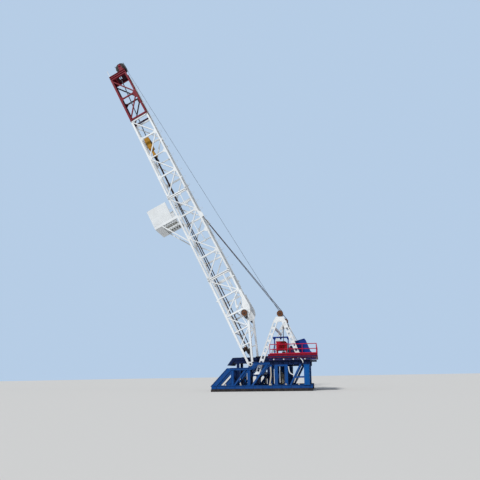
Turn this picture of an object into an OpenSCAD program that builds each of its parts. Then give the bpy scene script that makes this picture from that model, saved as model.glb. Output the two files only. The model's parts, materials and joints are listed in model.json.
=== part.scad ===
// Land drilling rig: a leaning lattice mast hinged on an open steel base.
// X runs along the rig towards the winch platform, Y away from the near side,
// Z up from the ground. The origin is at ground level in the middle of the rig, just right of the foot pins.

/* [Mast] */
// lean of the mast from upright, degrees
mast_lean = 25.5; // [20:0.5:30]
// height of the foot pins above the ground
pin_z = 2650; // [2620:10:2800]
// half distance between the foot pins
foot_y = 2300; // [2250:10:2350]
// half distance between the side faces up to the middle section's top
mast_y = 1350; // [1300:10:1400]
// half distance between the side faces of the crown section
crown_y = 610; // [580:10:660]
// depth of the mast at the knee
mast_depth = 2400; // [2300:20:2500]
// depth of the mast under the crown
crown_depth = 1900; // [1850:10:2000]
// height of the lower section along the mast
lower_u = 9950; // [9800:50:10200]
// height of the middle section
middle_u = 10450; // [10300:50:10700]
// height of the upper section
upper_u = 11050; // [10900:50:11200]
// height of the crown section
crown_u = 6000; // [5900:50:6100]
// height of the crown beams
crown_h = 550; // [500:10:600]
// leg width seen from the side
leg_w = 210; // [180:5:240]
// leg thickness across the mast
leg_t = 200; // [180:5:220]
// main girt width
girt_w = 150; // [120:5:180]
// brace width
brace_w = 100; // [80:5:120]

/* [Crown and block] */
// crown sheave radius at the rim
crown_r = 560; // [480:10:580]
// number of crown sheaves
crown_sheaves = 6; // [4:1:6]
// distance of the crown sheave shaft from the front leg line
crown_w = 1600; // [1560:10:1620]
// height of the travelling block's middle along the mast at rest
block_u = 28250; // [28000:50:28500]
// distance of the block from the front leg line
block_w = 600; // [550:10:650]
// drilling line radius
line_r = 16; // [14:1:20]
// raising line radius
raise_r = 30; // [24:1:32]

/* [Racking board] */
// height of the board floor along the mast
board_u = 18150; // [17900:50:18300]
// reach of the board in front of the mast
board_reach = 2300; // [2100:50:2500]
// half width of the board
board_y = 1450; // [1400:10:1500]
// height of the wind walls
wall_h = 2050; // [1900:50:2200]

/* [Base] */
// left end of the base
base_x0 = -3800; // [-4000:50:-3600]
// right end of the base
base_x1 = 5930; // [5800:10:6100]
// outer side frame, distance from the middle
outer_y = 3900; // [3800:20:4000]
// side frame member thickness across the rig
frame_t = 260; // [220:10:280]
// height of the timber skids
skid_h = 240; // [220:10:260]
// top of the drill floor
floor_z = 3350; // [3300:10:3380]
// top of the winch platform
deck_z = 3500; // [3480:10:3540]
// A-frame sheave plane, distance from the middle
gin_y = 3400; // [3350:10:3400]
// A-frame sheave centre along the rig
gin_x = 2980; // [2900:10:3060]
// A-frame sheave centre height
gin_z = 7480; // [7400:10:7540]
// A-frame sheave radius
gin_r = 300; // [280:5:320]

/* [View] */
// which piece is drawn

/* [Hidden] */
pin_x = -180;
pin_w = 170;
splay = atan((foot_y - mast_y) / lower_u);
u1 = lower_u;
u2 = lower_u + middle_u;
u3 = u2 + upper_u;
u4 = u3 + crown_u;
u5 = u4 + crown_h;
tilt_in = atan((mast_y - crown_y) / upper_u);
knee_u = 5400;
taper = (mast_depth - crown_depth) / (u4 - u1);
taper_a = atan(taper);
pitch = 120;
gap = 0.05;
seat = 0.3;
lug_t = 80;
crown_g = crown_r * 0.86 + line_r + gap;
crown_cu = u5 + 650;
yoke_u = block_u - 2500;
foot_su = 1730;
foot_sw = 290;
foot_sy = 1500;
foot_sr = 180;
sling_r = 45;
knee_su = 4950;
knee_sw = 1880;
knee_sy = 2050;
raise_u = 16600;
beam_h = 330;
low_z = 2050;
girder_x = 1960;
girder_z = 2490;
girder_h = 420;
deck_t = 340;
post_x = 5160;
gin_leg = gin_y + 200;
gin_ft = [gin_x - 390, gin_z - 700];
gin_fb = [660, 1650];
gin_rt = [gin_x + 330, gin_z - 700];
gin_rb = [4600, deck_z + 40];
tie_z = 6150;
tie_x = gin_ft[0] + (gin_fb[0] - gin_ft[0]) * (gin_ft[1] - tie_z) / (gin_ft[1] - gin_fb[1]);
white = [0.86, 0.88, 0.88];
red = [0.62, 0.08, 0.12];
blue = [0.07, 0.20, 0.50];
navy = [0.04, 0.07, 0.16];
black = [0.07, 0.07, 0.08];
yellow = [0.85, 0.62, 0.08];
brown = [0.28, 0.16, 0.10];
grey = [0.35, 0.35, 0.33];
steel = [0.25, 0.25, 0.26];
$fn = 48;

// shared shapes

// flat bar between two points of a drawing
module strip(p, q, w) {
    d = q - p;
    translate(p)
        rotate(atan2(d[1], d[0]))
            translate([0, -w / 2])
                square([norm(d), w]);
}

// upright drawing in an XZ plane at y0, t thick
module plane_y(y0, t) {
    translate([0, y0, 0])
        rotate([90, 0, 0])
            linear_extrude(t, center = true)
                children();
}

// upright drawing in a YZ plane at x0, t thick
module plane_x(x0, t) {
    translate([x0, 0, 0])
        rotate([90, 0, 90])
            linear_extrude(t, center = true)
                children();
}

// box from its low and high corners
module block3(a, b) {
    translate(a)
        cube(b - a);
}

// straight round bar between two points
module rod3(p, q, r) {
    d = q - p;
    translate(p)
        rotate([0, acos(d[2] / norm(d)), atan2(d[1], d[0])])
            cylinder(h = norm(d), r = r, $fn = 16);
}

// cylinder along Y about a middle point
module cyl_y(c, r, len) {
    translate(c)
        rotate([90, 0, 0])
            cylinder(h = len, r = r, center = true);
}

// children in mast coordinates: X across from the front leg line, Z along the mast from the pins
module mast() {
    translate([pin_x, 0, pin_z])
        rotate([0, -mast_lean, 0])
            translate([-pin_w, 0, 0])
                children();
}

function rear(u) = u < u1 ? mast_depth : mast_depth - (u - u1) * taper;
function to_x(w, u) = pin_x + (w - pin_w) * cos(mast_lean) - u * sin(mast_lean);
function to_z(w, u) = pin_z + (w - pin_w) * sin(mast_lean) + u * cos(mast_lean);

// touching point on a circle about c of the line from p, side is 1 or -1
function touch(c, r, p, side) =
    let (d = p - c, a = atan2(d[1], d[0]) + side * acos(r / norm(d)))
    [c[0] + r * cos(a), c[1] + r * sin(a)];

// grooved sheave along Y with a bore, n grooves between rims
module sheave(c, r, wide, bore, n, rim) {
    g = wide / n;
    translate(c)
        rotate([90, 0, 0])
            difference() {
                union() {
                    cylinder(h = wide, r = r * 0.86, center = true);
                    for (i = [0 : n])
                        translate([0, 0, max(-wide / 2, -wide / 2 + i * g - rim)])
                            cylinder(h = i == 0 || i == n ? rim : 2 * rim, r = r);
                }
                cylinder(h = wide * 2, r = bore, center = true);
            }
}

// mast side faces

// legs of one section between two heights
module legs2d(a, b) {
    strip([0, a], [0, b], leg_w);
    strip([rear(a), a], [rear(b), b], leg_w - 20);
}

// girt across the side face
module girt2d(u, w) {
    strip([leg_w / 2 - 5, u], [rear(u) - leg_w / 2 + 15, u], w);
}

// upper or middle side face: four bays of a zigzag
module bays2d(a, b) {
    h = (b - a) / 4;
    girt2d(a + girt_w / 2, girt_w);
    girt2d(b - girt_w / 2, girt_w);
    girt2d(a + h, girt_w + 20);
    girt2d(a + 2 * h, brace_w);
    girt2d(a + 3 * h, girt_w + 20);
    strip([0, b - girt_w], [rear(a + 3 * h), a + 3 * h], brace_w);
    strip([rear(a + 3 * h), a + 3 * h], [0, a + 2 * h], brace_w);
    strip([0, a + 2 * h], [rear(a + h), a + h], brace_w);
    strip([rear(a + h), a + h], [0, a + girt_w], brace_w);
}

// keeps only what lies between two heights of the mast
module between(a, b) {
    difference() {
        children();
        block3([-4000, -5000, a - 3000], [6000, 5000, a]);
        block3([-4000, -5000, b], [6000, 5000, b + 3000]);
    }
}

module side_face(a, b) {
    plane_y(0, leg_t)
        legs2d(a, b);
    plane_y(0, leg_t * 0.6)
        bays2d(a, b);
}

// upper face, leaning inward from the middle section's top
module upper_face(s) {
    between(u2, u3)
        translate([0, s * mast_y, u2])
            rotate([s * tilt_in, 0, 0])
                translate([0, 0, -u2])
                    side_face(u2, u3 + 40);
}

module crown_face(s) {
    between(u3, u4)
        translate([0, s * crown_y, 0]) {
            plane_y(0, leg_t)
                legs2d(u3, u4);
            plane_y(0, leg_t * 0.6) {
                girt2d(u3 + 200, girt_w);
                girt2d(u3 + 3150, girt_w - 20);
                strip([0, u4 - 120], [rear(u3 + 3200), u3 + 3200], brace_w + 10);
                strip([rear(u3 + 3000), u3 + 3000], [0, u3 + 250], brace_w + 10);
                polygon([[rear(u3 + 3200), u3 + 3200], [rear(u3 + 3200) - 350, u3 + 3150],
                    [rear(u3 + 2700) - 350, u3 + 2700], [rear(u3 + 2300), u3 + 2300]]);
            }
        }
}

// lower side face: straight front leg, rear leg down to the knee, slanting leg to the rounded foot
module lower2d_legs(k) {
    strip([0, 0], [0, k + 60], leg_w + 10);
    strip([mast_depth, knee_u], [mast_depth, k + 60], leg_w - 20);
    strip([430, 100], [mast_depth, knee_u], leg_w);
    translate([pin_w, 0])
        circle(r = 230);
    polygon([[mast_depth - 95, knee_u + 2100], [mast_depth + 200, knee_u + 2000], [mast_depth + 300, knee_u + 100],
        [mast_depth + 180, knee_u - 400], [mast_depth - 150, knee_u - 800], [mast_depth - 380, knee_u - 350],
        [mast_depth - 420, knee_u + 400], [mast_depth - 95, knee_u + 1100]]);
}

function slant_w(u) = 430 + (mast_depth - 430) * (u - 100) / (knee_u - 100);

module lower2d_braces(k) {
    strip([0, k - girt_w / 2], [mast_depth, k - girt_w / 2], girt_w);
    strip([0, 7600], [mast_depth, 7600], girt_w);
    strip([0, knee_u + 100], [mast_depth, knee_u + 100], girt_w + 30);
    strip([0, 3600], [slant_w(3600), 3600], brace_w + 20);
    strip([0, 2000], [slant_w(2000), 2000], brace_w + 20);
    strip([0, k - girt_w], [mast_depth, 7600], brace_w);
    strip([mast_depth, 7600], [0, knee_u + 150], brace_w);
    strip([0, knee_u], [slant_w(3600), 3600], brace_w);
    strip([slant_w(3600), 3600], [0, 2000], brace_w);
    strip([mast_depth - 720, 7600], [mast_depth - 720, k - 60], brace_w + 20);
    strip([knee_sw - 480, knee_u + 100], [slant_w(3600) - 100, 3600], brace_w);
    polygon([[knee_sw - 230, knee_su - 350], [knee_sw - 230, knee_u + 100], [mast_depth - 300, knee_u + 100],
        [slant_w(knee_su), knee_su], [slant_w(knee_su - 350), knee_su - 350]]);
}

module lower_face(s) {
    k = u1 / cos(splay);
    difference() {
        union() {
            translate([0, s * mast_y, u1])
                rotate([s * splay, 0, 0])
                    translate([0, 0, -k]) {
                        plane_y(0, leg_t)
                            lower2d_legs(k);
                        plane_y(0, leg_t * 0.6)
                            lower2d_braces(k);
                    }
            cyl_y([pin_w, s * foot_y, 0], 200, 260);
            // pin of the knee sheave and its collar
            cyl_y([knee_sw, s * (knee_sy - 70), knee_su], 49.95, 320);
            cyl_y([knee_sw, s * (knee_sy - 130), knee_su], 90, 130);
            // arched guard over the knee sheave
            plane_y(s * (knee_sy - 60), 320)
                difference() {
                    translate([knee_sw, knee_su])
                        circle(r = 420);
                    translate([knee_sw, knee_su])
                        circle(r = 365);
                    translate([knee_sw - 500, knee_su - 600])
                        square([1000, 650]);
                }
        }
        block3([-1000, -4000, u1], [4000, 4000, u1 + 500]);
        cyl_y([pin_w, s * foot_y, 0], 75.05, 600);
        // slot of the forked foot over the shoe's lug
        cyl_y([pin_w, s * foot_y, 0], 400, lug_t + 16);
    }
}

// mast rear face

// half width between the side faces: part 0 is the middle section, 1 the upper, 2 the crown section
function half_in(u, part) =
    part == 0 ? mast_y - leg_t / 2 - seat : part == 2 ? crown_y - leg_t / 2 - seat :
    mast_y - leg_t / 2 / cos(tilt_in) - seat - (u - u2) * tan(tilt_in);

module back_bays(a, b, n, part) {
    h = (b - a) / n;
    c = b + 10;
    y = mast_y;
    intersection() {
        polygon([[-half_in(a, part), a], [half_in(a, part), a], [half_in(c, part), c], [-half_in(c, part), c]]);
        union() {
            for (i = [0 : n])
                strip([-y, max(a + 60, min(b - 60, a + i * h))], [y, max(a + 60, min(b - 60, a + i * h))], 120);
            for (i = [0 : n - 1])
                for (s = [-1, 1])
                    strip([s * (half_in(a + i * h, part) + 30), a + i * h + 60], [0, a + (i + 1) * h - 60], 90);
        }
    }
}

// rear face of one section between heights a and b, n bays
module back_face(a, b, n, part) {
    between(a, b)
        translate([rear(a), 0, a])
            rotate([0, -taper_a, 0])
                translate([0, 0, -a])
                    plane_x(0, 120)
                        back_bays(a, b, n, part);
}

function low_in(u) = mast_y + (u1 - u) * tan(splay) - leg_t / 2 / cos(splay) - seat;

module lower_back_shape() {
    plane_x(mast_depth, 120)
        intersection() {
            polygon([[-low_in(5000), 5000], [low_in(5000), 5000], [low_in(u1), u1], [-low_in(u1), u1]]);
            union() {
                strip([-3000, u1 - 60], [3000, u1 - 60], 120);
                strip([-3000, 7600], [3000, 7600], 120);
                strip([-3000, knee_u + 200], [3000, knee_u + 200], 260);
                for (s = [-1, 1]) {
                    strip([s * low_in(7600), 7600], [0, u1 - 60], 90);
                    strip([s * low_in(knee_u + 200), knee_u + 200], [0, 7600], 90);
                }
            }
        }
}

// modules for the nodes of the base

module skid(s) {
    color(black)
        block3([base_x0, s * outer_y - (s > 0 ? 1900 : 300), 0],
            [base_x1, s * outer_y + (s > 0 ? 300 : 1900), skid_h]);
}
module skid_near() { skid(-1); }
module skid_far() { skid(1); }

// spreaders between the two side boxes, with beams under the drill floor's posts seated between them
module base_spreader() {
    y = outer_y - 1900;
    xs = [-2600, 0, 2600, 5300];
    color(navy)
        linear_extrude(skid_h) {
            for (x = xs)
                translate([x - 200, -y])
                    square([400, 2 * y]);
            for (d = [-1, 1])
                for (i = [0 : 2])
                    translate([xs[i] + 200 + seat, d * 1150 - 130])
                        square([xs[i + 1] - xs[i] - 400 - 2 * seat, 260]);
        }
}

// side frame drawing, the low top beam reaching up to top
module side2d(top) {
    z0 = skid_h;
    zb = skid_h + beam_h;
    // bottom beam
    translate([base_x0, z0])
        square([base_x1 - base_x0, beam_h]);
    // sloped end
    intersection() {
        strip([base_x0 + 40, 330], [-1840, 2355], 430);
        translate([base_x0, z0])
            square([2300, top - z0]);
    }
    // low top beam
    translate([-1970, low_z])
        square([2120, top - low_z]);
    // rise and top beam up to the deep girder
    polygon([[0, low_z], [150, low_z], [620, 2530], [girder_x, 2530], [girder_x, 2740], [400, 2740],
        [150, top], [0, top]]);
    // posts
    translate([-1820, zb - 10])
        square([200, low_z - zb + 20]);
    translate([-220, zb - 10])
        square([220, low_z - zb + 20]);
    translate([girder_x, zb - 10])
        square([140, girder_z - zb + 10]);
    translate([2400, zb - 10])
        square([260, girder_z - zb + 10]);
    translate([3360, zb - 10])
        square([260, girder_z - zb + 10]);
    translate([2400, girder_z - 140])
        square([1220, 140]);
    // diagonals
    strip([-1560, zb - 30], [-400, low_z + 60], 150);
    strip([200, zb - 20], [1690, 2560], 170);
    intersection() {
        strip([3850, zb - 30], [4870, girder_z + 40], 150);
        translate([3000, 0])
            square([3000, girder_z]);
    }
    // short rail before the box post
    translate([4240, 1230])
        square([post_x - 4240, 140]);
}

module side_frame(y0, top) {
    color(blue)
        plane_y(y0, frame_t)
            side2d(top);
}
module side_near_outer() { side_frame(-outer_y, 2250); }
module side_near_inner() { side_frame(-foot_y, 2300); }
module side_far_inner() { side_frame(foot_y, 2300); }
module side_far_outer() { side_frame(outer_y, 2250); }

// cross ties inside one side box, with the ledge that carries the A-frame's front foot
module ties(s) {
    a = foot_y + frame_t / 2;
    b = outer_y - frame_t / 2;
    lo = s > 0 ? a : -b;
    hi = s > 0 ? b : -a;
    color(navy) {
        block3([base_x0 + 40, lo, skid_h], [base_x1 - 40, hi, skid_h + 60]);
        for (x = [-1720, -110, girder_x + 70, 3490]) {
            block3([x - 80, s > 0 ? a : -a - 160, skid_h + 50], [x + 80, s > 0 ? a + 160 : -a, 1440]);
            block3([x - 80, lo, 1250], [x + 80, hi, 1450]);
        }
        for (x = [-1720, -110]) {
            block3([x - 80, s > 0 ? a : -a - 160, 1400], [x + 80, s > 0 ? a + 160 : -a, low_z + 160]);
            block3([x - 80, lo, low_z + 20], [x + 80, hi, low_z + 170]);
        }
        block3([gin_fb[0] - 330, lo, 1450], [gin_fb[0] + 330, hi, 1600]);
        block3([gin_fb[0] - 80, lo, skid_h + 50], [gin_fb[0] + 80, hi, 1500]);
    }
}
module ties_near() { ties(-1); }
module ties_far() { ties(1); }

// deep plate girders under the winch platform, an I section on each side frame
module deck_girders() {
    z1 = girder_z + girder_h;
    x1 = base_x1 - 170;
    color(navy)
        for (y = [-outer_y, -foot_y, foot_y, outer_y]) {
            block3([girder_x, y - 20, girder_z], [x1, y + 20, z1]);
            block3([girder_x, y - 130, girder_z], [x1, y + 130, girder_z + 40]);
            block3([girder_x, y - 130, z1 - 40], [x1, y + 130, z1]);
        }
}

// bright box posts near the right end
module end_posts() {
    color(blue)
        for (y = [-outer_y, -foot_y, foot_y, outer_y])
            block3([post_x, y - 200, skid_h + beam_h], [post_x + 500, y + 200, girder_z]);
}

// joists carrying the winch platform
module deck_joists() {
    z0 = girder_z + girder_h;
    color(navy)
        for (i = [0 : 4])
            translate([girder_x + i * 900, 0, 0])
                block3([0, -outer_y - 250, z0], [180, outer_y + 250, deck_z - deck_t]);
    color(navy)
        for (y = [-3000, 0, 3000])
            block3([girder_x + 30, y - 90, z0 + 40], [girder_x + 3740, y + 90, deck_z - deck_t - 10]);
}

// winch platform
module winch_deck() {
    color(red)
        block3([1800, -outer_y - 250, deck_z - deck_t], [6450, outer_y + 250, deck_z]);
}

// railing panel along X
module rail_x(y) {
    plane_y(y, 50) {
        for (x = [1960, 3880, 5040, 6350])
            translate([x, deck_z])
                square([x > 6000 ? 80 : 50, 950]);
        for (z = [430, 900])
            translate([1960, deck_z + z])
                square([4440, 50]);
        translate([1960, deck_z])
            square([4440, 100]);
    }
}

module deck_rail() {
    y = outer_y + 200;
    color(red) {
        rail_x(-y);
        rail_x(y);
        plane_x(6390, 60) {
            for (i = [0 : 6])
                translate([-y + (2 * y - 50) * i / 6, deck_z])
                    square([50, 950]);
            for (z = [430, 900])
                translate([-y, deck_z + z])
                    square([2 * y, 50]);
            translate([-y, deck_z])
                square([2 * y, 100]);
        }
    }
}

// drill floor pedestal
module floor_frame() {
    color(navy) {
        for (x = [-1650, 1500])
            for (y = [-1150, 1150])
                block3([x - 130, y - 130, skid_h + 260], [x + 130, y + 130, floor_z - 300]);
        for (y = [-1150, 1150])
            block3([-2700, y - 130, skid_h], [1900, y + 130, skid_h + 260]);
        for (x = [-1650, 1500])
            block3([x - 130, -1150, floor_z - 560], [x + 130, 1150, floor_z - 300]);
        for (y = [-1150, 1150])
            block3([-2000, y - 130, floor_z - 560], [1630, y + 130, floor_z - 300]);
    }
}

// drill floor with its sloped left end
module drill_floor() {
    color(navy)
        difference() {
            plane_y(0, 2600)
                polygon([[-2760, floor_z - 780], [-2180, floor_z], [1690, floor_z], [1690, floor_z - 300],
                    [-2040, floor_z - 300], [-2400, floor_z - 780]]);
            translate([block_w + 50, 0, floor_z - 400])
                cylinder(h = 600, r = 380);
        }
}

module rotary_table() {
    color(steel)
        translate([block_w + 50, 0, floor_z])
            difference() {
                cylinder(h = 120, r = 620);
                translate([0, 0, -10])
                    cylinder(h = 200, r = 349.25);
            }
}

// mast shoe: one lug with the foot pin on a plate over the inner side frame
module shoe(s) {
    color(blue) {
        block3([pin_x - 260, s * foot_y - 130, 2300], [pin_x + 260, s * foot_y + 130, 2340]);
        plane_y(s * foot_y, lug_t) {
            polygon([[pin_x - 240, 2320], [pin_x + 240, 2320], [pin_x + 140, pin_z - 60], [pin_x - 140, pin_z - 60]]);
            translate([pin_x, pin_z])
                circle(r = 150);
        }
        cyl_y([pin_x, s * foot_y, pin_z], 75, 320);
    }
}
module shoe_near() { shoe(-1); }
module shoe_far() { shoe(1); }

// A-frame

// battened two-chord leg in a drawing
module leg2d(p, q, w, n) {
    d = q - p;
    l = norm(d);
    translate(p)
        rotate(atan2(d[1], d[0])) {
            translate([0, -w / 2])
                square([l, w * 0.26]);
            translate([0, w * 0.24])
                square([l, w * 0.26]);
            for (i = [0 : n])
                translate([i * (l - 240) / n, -w / 2])
                    square([240, w]);
        }
}

module gin(s) {
    y = s * gin_y;
    yl = s * gin_leg;
    color(white)
        difference() {
            union() {
                plane_y(yl, 180) {
                    leg2d(gin_ft, gin_fb, 430, 8);
                    leg2d(gin_rt, gin_rb, 400, 6);
                    polygon([[gin_x - 620, gin_z - 820], [gin_x - 400, gin_z - 340],
                        [gin_x + 360, gin_z - 340], [gin_x + 560, gin_z - 820]]);
                }
                // inner cheek
                plane_y(y - s * 140, 60)
                    polygon([[gin_x - 400, gin_z - 640], [gin_x - 120, gin_z + 90],
                        [gin_x + 120, gin_z + 90], [gin_x + 300, gin_z - 640]]);
                plane_y(y, 240)
                    polygon([[gin_x - 395, gin_z - 620], [gin_x - 330, gin_z - 400],
                        [gin_x + 200, gin_z - 400], [gin_x + 215, gin_z - 620]]);
                cyl_y([gin_x, y - s * 25, gin_z], 59.95, 290);
                block3([gin_rb[0] - 300, yl - 170, deck_z], [gin_rb[0] + 300, yl + 170, deck_z + 60]);
                block3([gin_fb[0] - 300, yl - 170, 1600], [gin_fb[0] + 300, yl + 170, 1660]);
            }
            block3([-1000, yl - 500, 0], [9000, yl + 500, 1600]);
            block3([3500, yl - 500, 1600], [9000, yl + 500, deck_z]);
        }
}
module gin_near() { gin(-1); }
module gin_far() { gin(1); }

// cross tie between the front legs of the two A-frames
module gin_tie() {
    color(white)
        block3([tie_x - 95, -gin_leg + 90, tie_z - 95], [tie_x + 95, gin_leg - 90, tie_z + 95]);
}

module gin_sheave(s) {
    color(brown)
        sheave([gin_x, s * gin_y, gin_z], gin_r, 200, 60, 1, 12);
}
module gin_sheave_near() { gin_sheave(-1); }
module gin_sheave_far() { gin_sheave(1); }

// things on the platform

// drawing of the winch housing's outline
module housing2d() {
    polygon([[4150, deck_z + 200], [4150, deck_z + 1350], [4400, deck_z + 1380], [5190, deck_z + 1600],
        [5300, deck_z + 1450], [5800, deck_z + 200]]);
}
module winch_housing() {
    color(blue)
        plane_y(0, 2900)
            housing2d();
}
module winch_bed() {
    color(navy)
        block3([3950, -1900, deck_z], [6050, 1900, deck_z + 200]);
}
// cabinet on legs with a cut corner
module red_cabinet() {
    color(red) {
        plane_y(-1850, 1000)
            polygon([[2450, deck_z + 430], [2450, deck_z + 1330], [3330, deck_z + 1330],
                [3500, deck_z + 1160], [3500, deck_z + 430]]);
        for (x = [2450, 3400])
            for (y = [-2350, -1450])
                block3([x, y, deck_z], [x + 100, y + 100, deck_z + 450]);
    }
}
// line guides on the deck under the A-frame sheaves
module line_guides() {
    color(steel)
        for (s = [-1, 1])
            translate([gin_x + gin_c, s * gin_y, deck_z])
                block3([-160, -150, 0], [160, 150, 260]);
}
module blue_beam() {
    color(blue) {
        block3([2000, -1080, deck_z + 1780], [3700, -920, deck_z + 1890]);
        for (x = [2100, 3500])
            block3([x, -1060, deck_z], [x + 100, -940, deck_z + 1800]);
    }
}

// modules for the nodes of the mast

module lower_near() { color(white) mast() lower_face(-1); }
module lower_far() { color(white) mast() lower_face(1); }
module lower_back() { color(white) mast() lower_back_shape(); }
// middle face with the raising lug behind the rear leg
module middle_face(s) {
    between(u1, u2)
        translate([0, s * mast_y, 0])
            side_face(u1, u2);
    plane_y(s * mast_y, leg_t)
        polygon([[rear(17500) + 50, 17500], [rear(raise_u) + 350, 17050],
            [rear(raise_u) + 350, raise_u], [rear(raise_u) + 50, raise_u]]);
}
module middle_near() { color(white) mast() middle_face(-1); }
module middle_far() { color(white) mast() middle_face(1); }
module middle_back() { color(white) mast() back_face(u1, u2, 4, 0); }
module upper_near() { color(white) mast() upper_face(-1); }
module upper_far() { color(white) mast() upper_face(1); }
module upper_back() { color(white) mast() back_face(u2, u3, 4, 1); }
module crown_near() { color(red) mast() crown_face(-1); }
module crown_far() { color(red) mast() crown_face(1); }
module crown_back() { color(red) mast() back_face(u3, u4, 3, 2); }

// crown beams: a built-up beam on each side face, cross beams and two top plates
module crown_frame() {
    w1 = crown_depth + 95;
    color(red)
        mast() {
            for (s = [-1, 1]) {
                block3([-105, s * crown_y - 20, u4], [w1, s * crown_y + 20, u5]);
                for (z = [u4, u4 + crown_h / 2 - 17, u5 - 35])
                    block3([-105, s * crown_y - 90, z], [w1, s * crown_y + 90, z + 35]);
            }
            block3([-105, -crown_y, u4], [-45, crown_y, u5]);
            for (w = [460, crown_depth - 240])
                block3([w, -crown_y, u4 + 60], [w + 100, crown_y, u5]);
            block3([-105, -crown_y, u5 - 35], [480, crown_y, u5]);
            block3([crown_depth - 240, -crown_y, u5 - 35], [crown_depth + 20, crown_y, u5]);
        }
}

module crown_bearings() {
    color(red)
        mast() {
            for (s = [-1, 1])
                plane_y(s * crown_y, 140)
                    polygon([[crown_w - 280, u5], [crown_w + 280, u5],
                        [crown_w + 130, crown_cu + 130], [crown_w - 130, crown_cu + 130]]);
            cyl_y([crown_w, 0, crown_cu], 109.95, 2 * crown_y + 200);
        }
}

module crown_sheave_set() {
    color(black)
        mast()
            difference() {
                union() {
                    sheave([crown_w, 0, crown_cu], crown_r, crown_sheaves * pitch, 110, crown_sheaves, 18);
                    cyl_y([crown_w, 0, crown_cu], 200, crown_sheaves * pitch + 120);
                }
                cyl_y([crown_w, 0, crown_cu], 110, 1400);
            }
}

module lightning_rod() {
    color(white)
        mast()
            translate([0, -crown_y, u5]) {
                cylinder(h = 40, r = 85);
                cylinder(h = 850, r = 35);
            }
}

// guide sheave near the knee, on a pin outside the side face
module knee_sheave(s) {
    color(brown)
        mast()
            sheave([knee_sw, s * knee_sy, knee_su], 300, 120, 50, 1, 18);
}
module knee_sheave_near() { knee_sheave(-1); }
module knee_sheave_far() { knee_sheave(1); }

module foot_sheave(s) {
    color(brown)
        mast()
            sheave([foot_sw, s * foot_sy, foot_su], foot_sr, 140, 60, 1, 20);
}
module foot_sheave_near() { foot_sheave(-1); }
module foot_sheave_far() { foot_sheave(1); }

// carriers of the foot sheaves on the front legs: arm, inner cheek, outer strap and stub shaft
module foot_sheave_brackets() {
    color(steel)
        mast()
            difference() {
                for (s = [-1, 1]) {
                    plane_y(s * (foot_sy + 290), 820)
                        translate([-90, foot_su - 160])
                            square([180, 320]);
                    plane_y(s * (foot_sy - 110), 20)
                        polygon([[-90, foot_su - 150], [foot_sw + 60, foot_su - 150], [foot_sw + 150, foot_su - 60],
                            [foot_sw + 150, foot_su + 60], [foot_sw + 60, foot_su + 150], [-90, foot_su + 150]]);
                    plane_y(s * (foot_sy + 100), 20) {
                        translate([-90, foot_su - 60])
                            square([foot_sw + 90, 120]);
                        translate([foot_sw, foot_su])
                            circle(r = 80);
                    }
                    cyl_y([foot_sw, s * foot_sy, foot_su], 59.95, 220);
                }
                for (s = [-1, 1])
                    translate([0, s * mast_y, u1])
                        rotate([s * splay, 0, 0])
                            translate([-1000, s > 0 ? -leg_t / 2 : leg_t / 2 - 3000, -10500])
                                cube([2000, 3000, 10000]);
            }
}

// racking board floor: two side beams, outer plate and fingers
module board_floor() {
    a = -540 - board_reach;
    b = -leg_w / 2;
    color(white)
        mast()
            translate([0, 0, board_u - 280])
                difference() {
                    linear_extrude(280) {
                        for (s = [-1, 1])
                            translate([a, s > 0 ? board_y - 120 : -board_y])
                                square([b - a, 120]);
                        translate([a, -board_y])
                            square([800, 2 * board_y]);
                        for (x = [0 : 5])
                            translate([a + 900 + x * 300, -board_y])
                                square([80, 1000]);
                        for (x = [0 : 5])
                            translate([a + 900 + x * 300, board_y - 1000])
                                square([80, 1000]);
                    }
                }
}

// wind walls on three sides
module board_walls() {
    a = -540 - board_reach;
    color(white)
        mast()
            translate([0, 0, board_u])
                linear_extrude(wall_h)
                    difference() {
                        translate([a, -board_y])
                            square([board_reach, 2 * board_y]);
                        translate([a + 60, -board_y + 60])
                            square([board_reach + 100, 2 * board_y - 120]);
                    }
}

module board_braces() {
    color(white)
        mast()
            for (s = [-1, 1])
                plane_y(s * (board_y - 60), 100)
                    difference() {
                        strip([-2050, board_u - 150], [60, board_u - 3450], 120);
                        translate([-5000, board_u - 280])
                            square([6000, 1000]);
                        translate([-leg_w / 2, board_u - 5000])
                            square([2000, 6000]);
                    }
}

module travelling_block() {
    color(yellow)
        mast()
            plane_y(0, 760)
                polygon([[block_w - 330, block_u - 500], [block_w - 380, block_u + 450],
                    [block_w - 180, block_u + 850], [block_w + 220, block_u + 850],
                    [block_w + 400, block_u + 450], [block_w + 330, block_u - 500],
                    [block_w + 120, block_u - 850], [block_w - 120, block_u - 850]]);
}

module hook_yoke() {
    color(yellow)
        mast() {
            translate([block_w, 0, block_u - 1500])
                cylinder(h = 650, r = 150);
            translate([block_w, 0, block_u - 1950])
                cylinder(h = 460, r = 230);
        }
    color(black)
        mast()
            block3([block_w - 120, -520, block_u - 2500], [block_w + 120, 520, block_u - 1950]);
}

// drilling lines between the crown sheaves and the block
module drilling_lines() {
    p = [block_w + 60, block_u + 850];
    t = touch([crown_w, crown_cu], crown_g, p, -1);
    q = p + (p - t) / norm(p - t) * 60;
    color(steel)
        mast()
            difference() {
                for (i = [0 : crown_sheaves - 1])
                    rod3([q[0], (i - (crown_sheaves - 1) / 2) * pitch, q[1]],
                        [t[0], (i - (crown_sheaves - 1) / 2) * pitch, t[1]], line_r);
                block3([0, -1000, block_u], [2000, 1000, block_u + 850]);
            }
}

// slings from the yoke down to the foot sheaves
module sling_lines() {
    p = [block_w, yoke_u - 3];
    t = touch([foot_sw, foot_su], foot_sr * 0.86 + sling_r + gap, p, -1);
    color(black)
        mast()
            for (s = [-1, 1])
                rod3([t[0], s * foot_sy, t[1]], [p[0], s * 250, p[1]], sling_r);
}

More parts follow.
